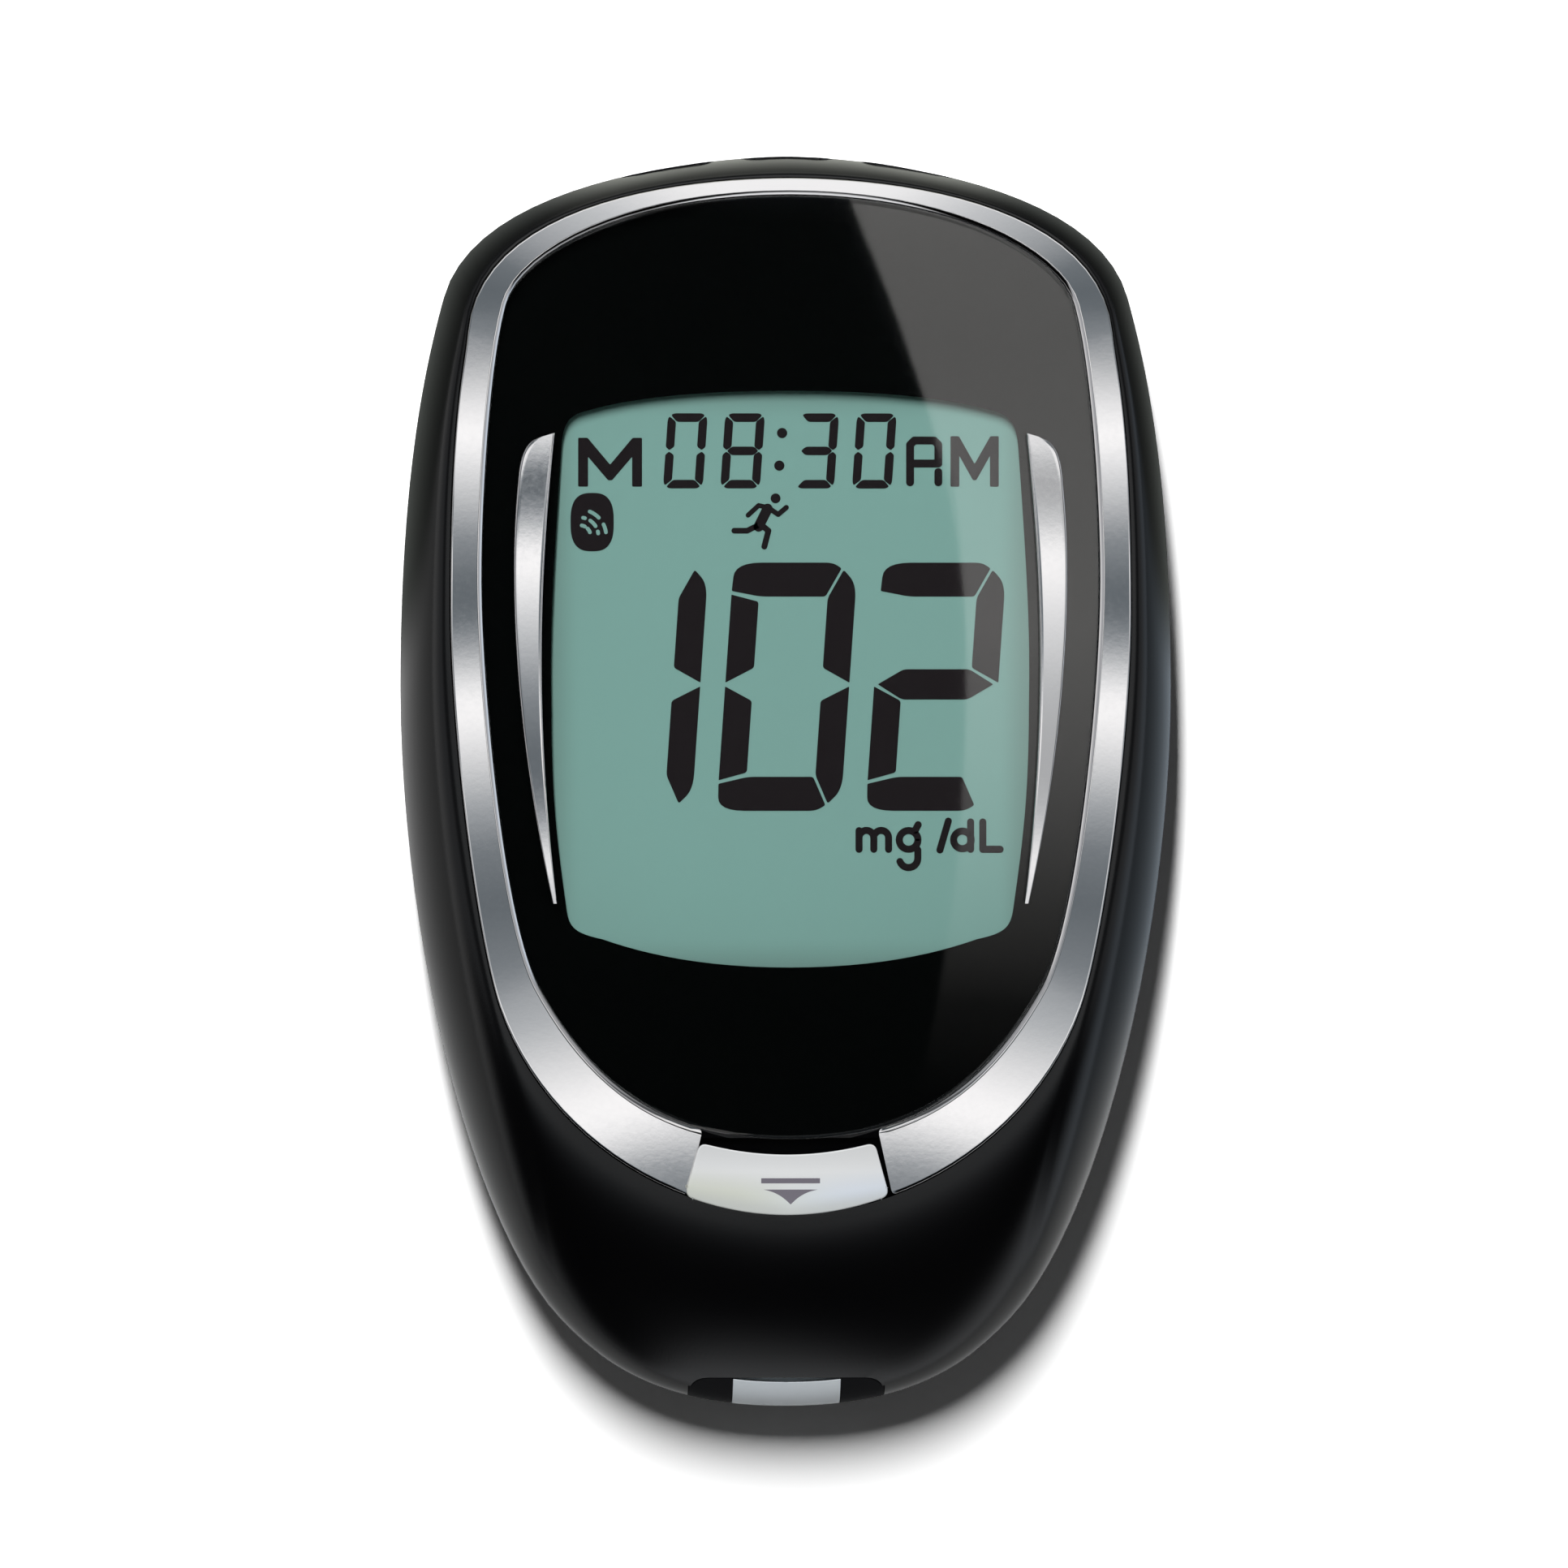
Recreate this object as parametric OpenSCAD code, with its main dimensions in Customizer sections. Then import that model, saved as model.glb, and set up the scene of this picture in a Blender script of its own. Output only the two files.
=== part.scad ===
// Hand-held blood glucose meter, lying on its back.
// Origin: middle of the back face. +X right, +Y to the top end, +Z out of the display.

/* [Housing] */
// Width at the widest point
body_w = 54.4; // [53:0.2:58]
// Length from the strip port to the top end
body_l = 88.2; // [87:0.2:94]
// Thickness from the back face to the crest of the front
body_t = 17.2; // [16:0.1:19]
// Share of the thickness that lies below the seam of the two shells
seam_share = 0.5; // [0.49:0.01:0.52]
// Wall of both shells
wall = 1.8; // [1.4:0.1:2]
// Radius of the front's lengthwise crown
crown_r = 300; // [260:10:500]
// Depth of the V groove at the seam
seam_groove = 0.2; // [0.1:0.05:0.3]
// How far the flat back lies inside the silhouette
back_inset = 3.9; // [3.4:0.1:4.2]

/* [Bezel and lens] */
// Black border beside the bezel
border_side = 3.2; // [3:0.1:4]
// Black border above the bezel
border_top = 1.6; // [1.4:0.1:2.4]
// Black slope below the bezel
border_bottom = 13.6; // [13.4:0.1:14.2]
// Bezel width at the sides
bezel_side = 2.25; // [1.8:0.05:2.6]
// Bezel width at the top
bezel_top = 1.25; // [1:0.05:1.8]
// Bezel width at the bottom
bezel_bottom = 5.3; // [5.1:0.1:5.6]
// How far the bezel's crest stands above the crown
bezel_rise = 0.45; // [0.2:0.05:0.8]
// Thickness of the clear lens
lens_t = 1.2; // [0.8:0.1:1.3]
// Thickness of the black mask behind the lens
mask_t = 0.15; // [0.1:0.05:0.2]
// Height of the silver side trims above the lens
trim_rise = 0.25; // [0.15:0.05:0.5]
// Depth of the side trims' seats in the lens
trim_seat = 0.5; // [0.3:0.05:0.6]

/* [Display] */
// Width of the display window
window_w = 33.6; // [30:0.2:34]
// Black lens above the display window
window_above = 13.8; // [13.6:0.1:15]
// Black lens below the display window
window_below = 12.1; // [11.6:0.1:14]
// Thickness of each display glass
glass_t = 0.7; // [0.5:0.05:0.8]
// Thickness of the polarising film and of the reflector
film_t = 0.2; // [0.1:0.05:0.25]
// Width of the display glass outside the window, each side
glass_margin = 0.8; // [0.6:0.1:1]

/* [Strip release] */
// Travel of the release button
release_travel = 2; // [1.2:0.1:2.1]
// Width of the button at its upper edge
button_top_w = 12.3; // [11:0.1:12.6]
// Width of the button at its lower edge
button_bottom_w = 14.4; // [13:0.1:14.6]
// Thickness of the button cap
button_t = 1.2; // [1:0.1:1.4]
// Finger gap above the button
button_gap = 1.2; // [0.9:0.1:1.4]
// Depth of the scoop in the cap
button_scoop = 0.35; // [0.1:0.05:0.5]
// Width of the test strip slot
slot_w = 6.2; // [5.6:0.1:6.4]
// Height of the test strip slot
slot_h = 0.8; // [0.5:0.1:0.9]
// Width of the pale strip port
port_w = 7.6; // [7.2:0.1:8.4]
// Depth of the strip port seen from the front
port_d = 2; // [1.6:0.1:2.2]

/* [Side keys] */
// Length of each key on the top end
key_l = 6.2; // [5:0.1:6.6]
// Height of each key
key_h = 2.4; // [2:0.1:2.4]
// Distance between neighbouring keys
key_pitch = 8.4; // [8.2:0.1:9]
// Travel of each key
key_travel = 0.5; // [0.3:0.05:0.6]

/* [Battery] */
// Diameter of each coin cell
cell_d = 20; // [19:0.1:20]
// Thickness of each coin cell
cell_t = 3.2; // [2.4:0.1:3.2]
// Distance between the two cells' centres
cell_pitch = 21.2; // [20.8:0.1:21.4]
// Y of the cells' centres
cell_y = 8; // [7:0.1:9]
// Thickness of the battery door
door_t = 1.2; // [1:0.05:1.3]

/* [Inside] */
// Thickness of the circuit board
board_t = 0.8; // [0.6:0.1:1]
// Height of the board's lower face
board_z = 6.4; // [6.3:0.1:6.6]
// Radius of the screw shank
screw_r = 0.85; // [0.7:0.05:0.95]
// Radius of the screw head
head_r = 1.8; // [1.5:0.1:1.9]
// Radius of the columns that the screws pass through
column_r = 2.8; // [2.6:0.1:3]

/* [Hidden] */

fit = 0.15;             // running clearance of moving and drop-in pieces
snug = 0.05;            // clearance of pieces that are pressed home
half_l = body_l / 2;
seam_z = body_t * seam_share;
segs = 12;              // points on each of an outline's four stretches
far = 60;               // longer than any cut has to be

// Each outline is four smooth stretches a side: top, shoulder, flank, lower flank.
// [shoulder x, shoulder y, shoulder angle, low x, low y, low angle, eight tangent lengths],
// as shares of the half width and of the heights above and below the widest point.
body_shape = [0.887, 0.735, 74.5, 0.584, 0.879, 46.6, [0.11, 0.34, 0.21, 0.52, 0.62, 0.35, 0.17, 0.32]];
ring_shape = [0.948, 0.639, 84.8, 0.854, 0.657, 71.4, [0.25, 0.41, 0.12, 0.58, 0.37, 0.21, 0.38, 0.37]];
lens_shape = [0.919, 0.715, 74.5, 0.814, 0.728, 61.2, [0.55, 0.16, 0.21, 0.23, 0.36, 0.23, 0.41, 0.37]];

function bezier(a, b, c, d, t) =
    pow(1 - t, 3) * a + 3 * pow(1 - t, 2) * t * b + 3 * (1 - t) * t * t * c + pow(t, 3) * d;
function heading(a) = [cos(a), sin(a)];
function stretch(a, b, c, d, n) = [for (i = [0:n - 1]) bezier(a, b, c, d, i / n)];
// Smooth stretches one after the other: each third point lies on the line.
function path(p) = [
    for (k = [0:3:len(p) - 4]) each stretch(p[k], p[k + 1], p[k + 2], p[k + 3], segs)
];

// The right half of an egg-shaped outline, from the top to just before the bottom.
function half_egg(hw, top, wide, bottom, s) =
    let (
        shoulder = [s[0] * hw, wide + s[1] * (top - wide)],
        low = [s[3] * hw, wide - s[4] * (wide - bottom)],
        h = s[6] * hw,
        down = [s[2], s[5]],
        from_shoulder = heading(-down[0]),
        from_low = -heading(down[1])
    )
    path([
        [0, top], [h[0], top], shoulder - h[1] * from_shoulder,
        shoulder, shoulder + h[2] * from_shoulder, [hw, wide + h[3]],
        [hw, wide], [hw, wide - h[4]], low - h[5] * from_low,
        low, low + h[6] * from_low, [h[7], bottom],
        [0, bottom]
    ]);
function mirrored(half, bottom) =
    concat(half, [[0, bottom]], [for (i = [len(half) - 1:-1:1]) [-half[i][0], half[i][1]]]);
function egg(hw, top, wide, bottom, s) = mirrored(half_egg(hw, top, wide, bottom, s), bottom);

// Moves a clockwise outline inwards by d, square to itself.
function inset(pts, d) = [
    for (i = [0:len(pts) - 1])
        let (
            n = len(pts),
            along = pts[(i + 1) % n] - pts[(i + n - 1) % n]
        )
        pts[i] + d * [along[1], -along[0]] / norm(along)
];

// Y of the widest point of each outline
body_wide_y = 6.6;
ring_wide_y = 12.1;
lens_wide_y = 14.3;

body_line = egg(body_w / 2, half_l, body_wide_y, -half_l, body_shape);

ring_hw = body_w / 2 - border_side;
ring_top = half_l - border_top;
ring_bottom = -half_l + border_bottom;
ring_line = egg(ring_hw, ring_top, ring_wide_y, ring_bottom, ring_shape);

lens_hw = ring_hw - bezel_side;
lens_top = ring_top - bezel_top;
lens_bottom = ring_bottom + bezel_bottom;
lens_line = egg(lens_hw, lens_top, lens_wide_y, lens_bottom, lens_shape);

// The front's crest is a cylinder across the meter, highest a little above the middle.
crown_y = 6;
function crown(y) = body_t - crown_r + sqrt(crown_r * crown_r - (y - crown_y) * (y - crown_y));

seat_depth = lens_t + mask_t + snug;    // of the lens's seat below the crown
web_depth = 4.6;                        // from the crest to the front shell's inner face
ceiling_z = body_t - web_depth;
board_top = board_z + board_t;

// ---------- lofted shells ----------

// Joins rings of equal length into a closed solid. The first ring is flat.
module loft(rings, tip) {
    n = len(rings[0]);
    m = len(rings);
    polyhedron(
        points = concat([for (r = rings) each r], [tip]),
        faces = concat(
            [[for (i = [n - 1:-1:0]) i]],
            [for (k = [0:m - 2], i = [0:n - 1])
                let (a = k * n + i, b = k * n + (i + 1) % n) each [[a, b, b + n], [a, b + n, a + n]]],
            [for (i = [0:n - 1]) [m * n, (m - 1) * n + i, (m - 1) * n + (i + 1) % n]]
        )
    );
}

// One ring of the front: 0 degrees is the silhouette, 90 the bezel's outer edge.
function front_ring(angle, d, drop) = [
    for (i = [0:len(body_line) - 1])
        let (
            edge = inset(body_line, d)[i],
            rim = inset(ring_line, d)[i],
            p = rim + (edge - rim) * cos(angle)
        )
        [p[0], p[1], seam_z + (crown(p[1]) - drop - seam_z) * sin(angle)]
];
// One ring of the back: 0 degrees is the flat back's edge, 90 the silhouette.
function rear_ring(angle, d) = [
    for (i = [0:len(body_line) - 1])
        let (
            edge = inset(body_line, d)[i],
            flat_edge = [
                body_line[i][0] * (1 - 2 * back_inset / body_w),
                body_line[i][1] * (1 - 2 * back_inset / body_l)
            ],
            foot = d == 0 ? flat_edge : inset(body_line, back_inset + d)[i],
            p = foot + (edge - foot) * sin(angle)
        )
        [p[0], p[1], d * 0.9 + (seam_z - d * 0.9) * (1 - cos(angle))]
];
function lifted(line, z) = [for (p = line) [p[0], p[1], z]];

module front_solid() {
    loft(
        concat(
            [lifted(inset(body_line, seam_groove), seam_z)],
            [for (a = [2, 10, 20, 31, 43, 55, 67, 79, 90]) front_ring(a, 0, 0)]
        ),
        [0, crown_y, body_t + 1]
    );
}
module front_hollow() {
    loft(
        concat(
            [lifted(inset(body_line, wall), seam_z - 1)],
            [for (a = [0, 22, 45, 68, 90]) front_ring(a, wall, wall)]
        ),
        [0, crown_y, body_t]
    );
}
module rear_solid() {
    loft(
        concat(
            [for (a = [0, 12, 25, 39, 54, 70, 88]) rear_ring(a, 0)],
            [lifted(inset(body_line, seam_groove), seam_z)]
        ),
        [0, 0, seam_z]
    );
}
module rear_hollow() {
    loft(
        concat(
            [for (a = [0, 30, 60, 90]) rear_ring(a, wall)],
            [lifted(inset(body_line, wall), seam_z + 1)]
        ),
        [0, 0, seam_z + 1]
    );
}

// ---------- shared shapes ----------

module line_prism(line, z0, z1) {
    translate([0, 0, z0]) linear_extrude(z1 - z0) polygon(line);
}
// What lies below the crown when it is lowered by drop.
module below_crown(drop) {
    translate([0, crown_y, body_t - crown_r]) rotate([0, 90, 0])
        cylinder(h = far, r = crown_r - drop, center = true, $fn = 360);
}
module box(x0, x1, y0, y1, z0, z1) {
    translate([x0, y0, z0]) cube([x1 - x0, y1 - y0, z1 - z0]);
}
module both_sides() {
    children();
    mirror([1, 0, 0]) children();
}
module stadium(l, h) {
    square([l - h, h], center = true);
    for (s = [-1, 1]) translate([s * (l - h) / 2, 0]) circle(d = h, $fn = 32);
}
module round_box(w, l, h, r) {
    linear_extrude(h) {
        square([w, l - 2 * r], center = true);
        square([w - 2 * r, l], center = true);
        for (x = [-1, 1], y = [-1, 1])
            translate([x * (w / 2 - r), y * (l / 2 - r)]) circle(r, $fn = 32);
    }
}

// ---------- screws and columns ----------

upper_screw = [body_w * 0.272, half_l - 9.4];
lower_screw = [body_w * 0.287, -half_l + 22.1];
head_seat_z = 2.4;
head_h = 1.2;
drive_w = 0.4;          // width and depth of the cross in the head
drive_depth = 0.6;
screw_tip_z = ceiling_z - 1.2;

module at_screws() {
    for (p = [upper_screw, lower_screw], s = [-1, 1]) translate([s * p[0], p[1], 0]) children();
}
module housing_screws() {
    color("darkgray") at_screws() difference() {
        union() {
            translate([0, 0, head_seat_z - head_h]) cylinder(h = head_h, r = head_r, $fn = 48);
            translate([0, 0, head_seat_z - 0.01])
                cylinder(h = screw_tip_z - head_seat_z, r = screw_r, $fn = 32);
        }
        for (a = [0, 90]) translate([0, 0, head_seat_z - head_h]) rotate(a)
            box(-head_r * 0.6, head_r * 0.6, -drive_w / 2, drive_w / 2, -1, drive_depth);
    }
}

// ---------- display window and lens ----------

window_y = lens_bottom + window_below;
window_top = lens_top - window_above;
window_hw = window_w / 2;

// The window: a shallow arch at the top, a deeper one at the bottom and bowed flanks.
function window_half() =
    let (w = window_hw, t = window_top, b = window_y)
    path([
        [0, t], [w * 0.45, t], [w * 0.7, t - 0.7],
        [w - 2.6, t - 1.4], [w - 1.3, t - 1.7], [w - 0.95, t - 2.2],
        [w - 0.75, t - 3.6], [w - 0.1, t - 13], [w + 0.1, t - 17],
        [w, t - 22], [w, b + 12], [w - 0.4, b + 9],
        [w - 1.1, b + 4], [w - 1.3, b + 2.8], [w - 1.7, b + 2.4],
        [w - 3.6, b + 2], [w * 0.6, b + 0.9], [w * 0.35, b],
        [0, b]
    ]);
window_line = mirrored(window_half(), window_y);

// A crescent beside the window, round at its upper outer corner and pointed below.
trim_x = lens_hw - 2.3;     // of the trim's outermost point
trim_top = window_top - 3.1;
trim_foot = window_y + 4.5;
function trim_outline(grow) =
    let (
        x = trim_x,
        t = trim_top,
        b = trim_foot,
        outer = path([
            [x - 1.1, t - 0.2], [x - 0.5, t - 0.6], [x - 0.45, t - 1.8],
            [x - 0.3, t - 3.4], [x + 0.3, t - 9], [x + 0.2, b + 13],
            [x - 2.75, b]
        ]),
        inner = path([[x - 3, b], [x - 1.3, b + 14], [x - 1.9, t - 9], [x - 2.85, t + 0.1]])
    )
    inset(concat(outer, [[x - 2.75, b]], inner, [[x - 2.85, t + 0.1]]), -grow);

module side_trim() {
    color("silver") intersection() {
        line_prism(trim_outline(0), ceiling_z, body_t + 2);
        difference() {
            below_crown(-trim_rise);
            below_crown(trim_seat);
        }
    }
}
module side_trim_right() side_trim();
module side_trim_left() mirror([1, 0, 0]) side_trim();

module display_lens() {
    color([0.1, 0.1, 0.11]) difference() {
        intersection() {
            line_prism(inset(lens_line, snug), ceiling_z, body_t + 2);
            below_crown(0);
        }
        below_crown(lens_t);
        both_sides() difference() {
            line_prism(trim_outline(snug), ceiling_z, body_t + 2);
            below_crown(trim_seat);
        }
    }
}
module lens_mask() {
    color("black") difference() {
        intersection() {
            line_prism(inset(lens_line, snug), ceiling_z, body_t + 2);
            below_crown(lens_t);
        }
        below_crown(lens_t + mask_t);
        line_prism(window_line, ceiling_z, body_t + 2);
    }
}

// ---------- release button ----------

button_low_y = ring_bottom;                     // of the cap's lower edge, at the middle
button_top_y = lens_bottom - button_gap;        // of the cap's upper edge, at the middle
button_lift = 0.1;                              // of the cap's underside above the crown
button_side_sag = 1.35;                         // how far the lower corners lie above the middle
button_top_sag = 0.75;
stem_w = 3;
stem_l = 1.5;
stem_y1 = button_top_y - 0.25;
stem_y0 = stem_y1 - stem_l;
pocket_y0 = stem_y0 - release_travel - fit;     // lower wall of the pocket
pocket_z = crown(button_top_y) - 2;
stem_top = crown(stem_y0) + button_lift - snug;
cap_side_l = button_top_y - button_low_y - button_top_sag + button_side_sag;
slope = (button_bottom_w - button_top_w) / 2 / cap_side_l;

// The cap's outline: two arcs joined by slanting sides.
function cap_line(grow) =
    let (
        tw = button_top_w / 2 + grow,
        bw = button_bottom_w / 2 + grow,
        ty = button_top_y + button_top_sag + grow,
        by = button_low_y + button_side_sag - grow
    )
    concat(
        [for (i = [0:8]) let (u = i / 4 - 1) [u * tw, ty - button_top_sag * (1 - u * u)]],
        [for (i = [0:8]) let (u = 1 - i / 4) [u * bw, by - button_side_sag * (1 - u * u)]]
    );
// Outline of the gap that the bezel leaves for the button.
gap_side = 0.4;
module button_bay(z0, z1) {
    y1 = lens_bottom + 3;
    y0 = ring_bottom - 3;
    middle_y = (button_top_y + button_low_y) / 2;
    middle_w = (button_top_w + button_bottom_w) / 4 + gap_side;
    upper_w = middle_w - slope * (y1 - middle_y);
    lower_w = middle_w - slope * (y0 - middle_y);
    translate([0, 0, z0]) linear_extrude(z1 - z0)
        polygon([[-upper_w, y1], [upper_w, y1], [lower_w, y0], [-lower_w, y0]]);
}

// The cap's section along the meter: underside on the crown, top dished for the fingertip.
scoop_r = 11;
scoop_y = (button_top_y + button_low_y) / 2 - 0.4;
scoop_z = crown(scoop_y) + button_lift + button_t - button_scoop + scoop_r;
function cap_top(y) =
    min(crown(y) + button_lift + button_t, scoop_z - sqrt(scoop_r * scoop_r - pow(y - scoop_y, 2)));
function cap_section() =
    let (
        y0 = button_low_y - 0.2,
        y1 = button_top_y + button_top_sag + 0.2,
        steps = 24,
        ys = [for (i = [0:steps]) y0 + (y1 - y0) * i / steps]
    )
    concat(
        [for (y = ys) [y, crown(y) + button_lift]],
        [for (i = [steps:-1:0]) [ys[i], cap_top(ys[i])]]
    );
module release_button() {
    color("gainsboro") difference() {
        intersection() {
            line_prism(cap_line(0), ceiling_z, body_t + 3);
            rotate([90, 0, 90]) linear_extrude(far, center = true) polygon(cap_section());
        }
        // socket of the peg
        translate([0, (stem_y0 + stem_y1) / 2, stem_top - 1])
            cylinder(h = 1.6, r = post_r + snug, $fn = 32);
    }
}
post_r = 0.5;           // of the peg that joins the cap to the slider
post_h = 0.5;

slot_z = board_top + 0.5;           // floor of the strip slot
slot_top = slot_z + slot_h;
slider_z = slot_top + (ceiling_z - slot_top) * 0.45;    // underside of the slider plate
slider_t = 1.2;
slider_w = 9.6;
slider_y0 = button_low_y - 0.5;
slider_y1 = button_top_y + 3.5;
prong_x = slot_w / 2 - 1;           // inner face of each prong
prong_w = 0.7;
prong_y0 = ring_bottom + 4.3;
prong_l = 1;
spring_r = 0.95;
wire_r = 0.15;
spring_z = slider_z + 0.95;         // of its axis
spring_room = 0.25;                 // round the spring
horn_t = 1;                         // of the rib that holds the spring's fixed end
horn_w = 4.4;
lug_l = 1;

module ejector_slider() {
    color("whitesmoke") {
        difference() {
            union() {
                box(-slider_w / 2, slider_w / 2, slider_y0, slider_y1, slider_z, slider_z + slider_t);
                // lug that the spring bears on
                translate([0, slider_y0 + lug_l, spring_z]) rotate([90, 0, 0])
                    cylinder(h = lug_l, r = spring_r, $fn = 32);
                box(-stem_w / 2, stem_w / 2, stem_y0, stem_y1, slider_z, stem_top);
                translate([0, (stem_y0 + stem_y1) / 2, stem_top - 0.5])
                    cylinder(h = 0.5 + post_h, r = post_r, $fn = 32);
                both_sides() translate([prong_x, prong_y0, slot_z + fit])
                    cube([prong_w, prong_l, slider_z + slider_t - slot_z - fit]);
            }
            // hollows that lighten the plate, one each side of the stem
            both_sides() translate([stem_w / 2 + 0.6, slider_y0 + 1.4, slider_z + slider_t / 2])
                cube([(slider_w - stem_w) / 2 - 1.5, stem_y0 - slider_y0 - 1.4, slider_t]);
        }
    }
}

spring_seat_y = slider_y0 - 5.2;   // fixed end of the spring
module ejector_spring() {
    turns = 7;
    per_turn = 8;
    sides = 6;
    length = slider_y0 - spring_seat_y - 2 * wire_r - 0.1;
    count = turns * per_turn;
    function centre(i) = [
        (spring_r - wire_r) * cos(i * 360 / per_turn),
        spring_seat_y + wire_r + 0.05 + length * i / count,
        spring_z + (spring_r - wire_r) * sin(i * 360 / per_turn)
    ];
    function around(i, k) =
        let (out = [cos(i * 360 / per_turn), 0, sin(i * 360 / per_turn)], a = k * 360 / sides)
        centre(i) + wire_r * (cos(a) * out + sin(a) * [0, 1, 0]);
    color("lightgray") polyhedron(
        points = [for (i = [0:count], k = [0:sides - 1]) around(i, k)],
        faces = concat(
            [[for (k = [0:sides - 1]) k]],
            [for (i = [0:count - 1], k = [0:sides - 1])
                let (a = i * sides + k, b = i * sides + (k + 1) % sides)
                each [[a, a + sides, b + sides], [a, b + sides, b]]],
            [[for (k = [sides - 1:-1:0]) count * sides + k]]
        )
    );
}

// ---------- bezel ----------

// The ring's section, outer edge to inner edge: [share of the width, height above the crown].
// A rounded outer edge, a broad face that falls a little outwards and a chamfer to the lens.
seated = seat_depth - 0.03;
ring_section = [
    [0, -seated], [0, -0.15], [0.045, 0.12], [0.14, bezel_rise * 0.62],
    [0.86, bezel_rise], [1, bezel_rise - 0.35], [1, -seated]
];
module bezel_ring() {
    outer = inset(ring_line, snug);
    inner = inset(lens_line, -snug);
    n = len(outer);
    m = len(ring_section);
    color("silver") difference() {
        polyhedron(
            points = [
                for (i = [0:n - 1], s = ring_section)
                    let (p = outer[i] + (inner[i] - outer[i]) * s[0]) [p[0], p[1], crown(p[1]) + s[1]]
            ],
            faces = [
                for (i = [0:n - 1], k = [0:m - 1])
                    let (here = i * m, next = ((i + 1) % n) * m, up = (k + 1) % m)
                    each [[here + k, next + k, next + up], [here + k, next + up, here + up]]
            ]
        );
        button_bay(pocket_z - 1, body_t + 2);
    }
}

// ---------- keys on the top end ----------

key_z = seam_z + 1.8;
key_arc = 45;                       // radius of the top end's wall
key_arc_y = half_l - 0.1 - key_arc;
key_back = 3.5;                     // from the keys' outer faces to their inner ends
flange_grow = 0.35;                 // of a key's flange beyond its cap, all round
// Y of the inner end of a key at x
function key_end(x) = key_arc_y + sqrt(pow(key_arc - key_back, 2) - x * x);
module key(x) {
    l = half_l - key_end(x);
    color([0.14, 0.14, 0.15]) intersection() {
        union() {
            translate([x, half_l, key_z]) rotate([90, 0, 0]) linear_extrude(l) stadium(key_l, key_h);
            intersection() {
                translate([x, half_l, key_z]) rotate([90, 0, 0]) linear_extrude(l)
                    stadium(key_l + 2 * flange_grow, key_h + 2 * flange_grow);
                translate([0, key_arc_y, 0]) cylinder(h = far, r = key_arc - wall - 0.45, $fn = 128);
            }
        }
        translate([0, key_arc_y, 0]) cylinder(h = far, r = key_arc, $fn = 128);
    }
}
module up_key() key(key_pitch);
module set_key() key(0);
module down_key() key(-key_pitch);
module key_holes() {
    flange_room = flange_grow + fit;
    for (k = [-1:1]) translate([k * key_pitch, half_l + 5, key_z]) rotate([90, 0, 0])
        linear_extrude(12) stadium(key_l + 2 * fit, key_h + 2 * fit);
    intersection() {
        for (k = [-1:1]) translate([k * key_pitch, half_l, key_z]) rotate([90, 0, 0])
            linear_extrude(7) stadium(key_l + 2 * flange_room, key_h + 2 * flange_room);
        translate([0, key_arc_y, 0]) cylinder(h = far, r = key_arc - wall - 0.3, $fn = 128);
    }
}
switch_y1 = half_l - 5.8;
switch_w = 4.8;
switch_l = 3;
switch_h = 3.4;
module key_switches() {
    for (k = [-1:1]) translate([k * key_pitch, 0, 0]) {
        color("dimgray") translate([-switch_w / 2, switch_y1 - switch_l, board_top])
            cube([switch_w, switch_l, switch_h]);
        color("whitesmoke") translate([0, switch_y1 - 0.01, key_z - 0.9]) rotate([-90, 0, 0])
            linear_extrude(key_end(k * key_pitch) - switch_y1 - key_travel - 0.08)
            square([switch_w / 2, 1.2], center = true);
    }
}

// ---------- housings ----------

port_hw = port_w / 2;
cheek_hw = port_hw + 3.1;           // half width of the dark surround
port_y = -half_l + port_d;          // upper edge of the port, seen from the front
port_inner_y = -half_l + 3.5;
port_floor_z = seam_z - 2.7;
port_top_z = seam_z + 1.4;

module port_notch(grow) {
    hw = cheek_hw + grow;
    box(-hw, hw, -half_l - 2, port_y + grow, port_floor_z - grow, body_t);
    box(-hw, hw, -half_l - 2, port_inner_y + grow, port_floor_z - grow, port_top_z + grow);
}

frame_hw = window_hw + glass_margin + 1;
frame_y0 = window_y - glass_margin - 1.9;
ledge = 2;                          // contact ledge of the display glass
frame_y1 = window_top + glass_margin + ledge + 1.6;

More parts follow.
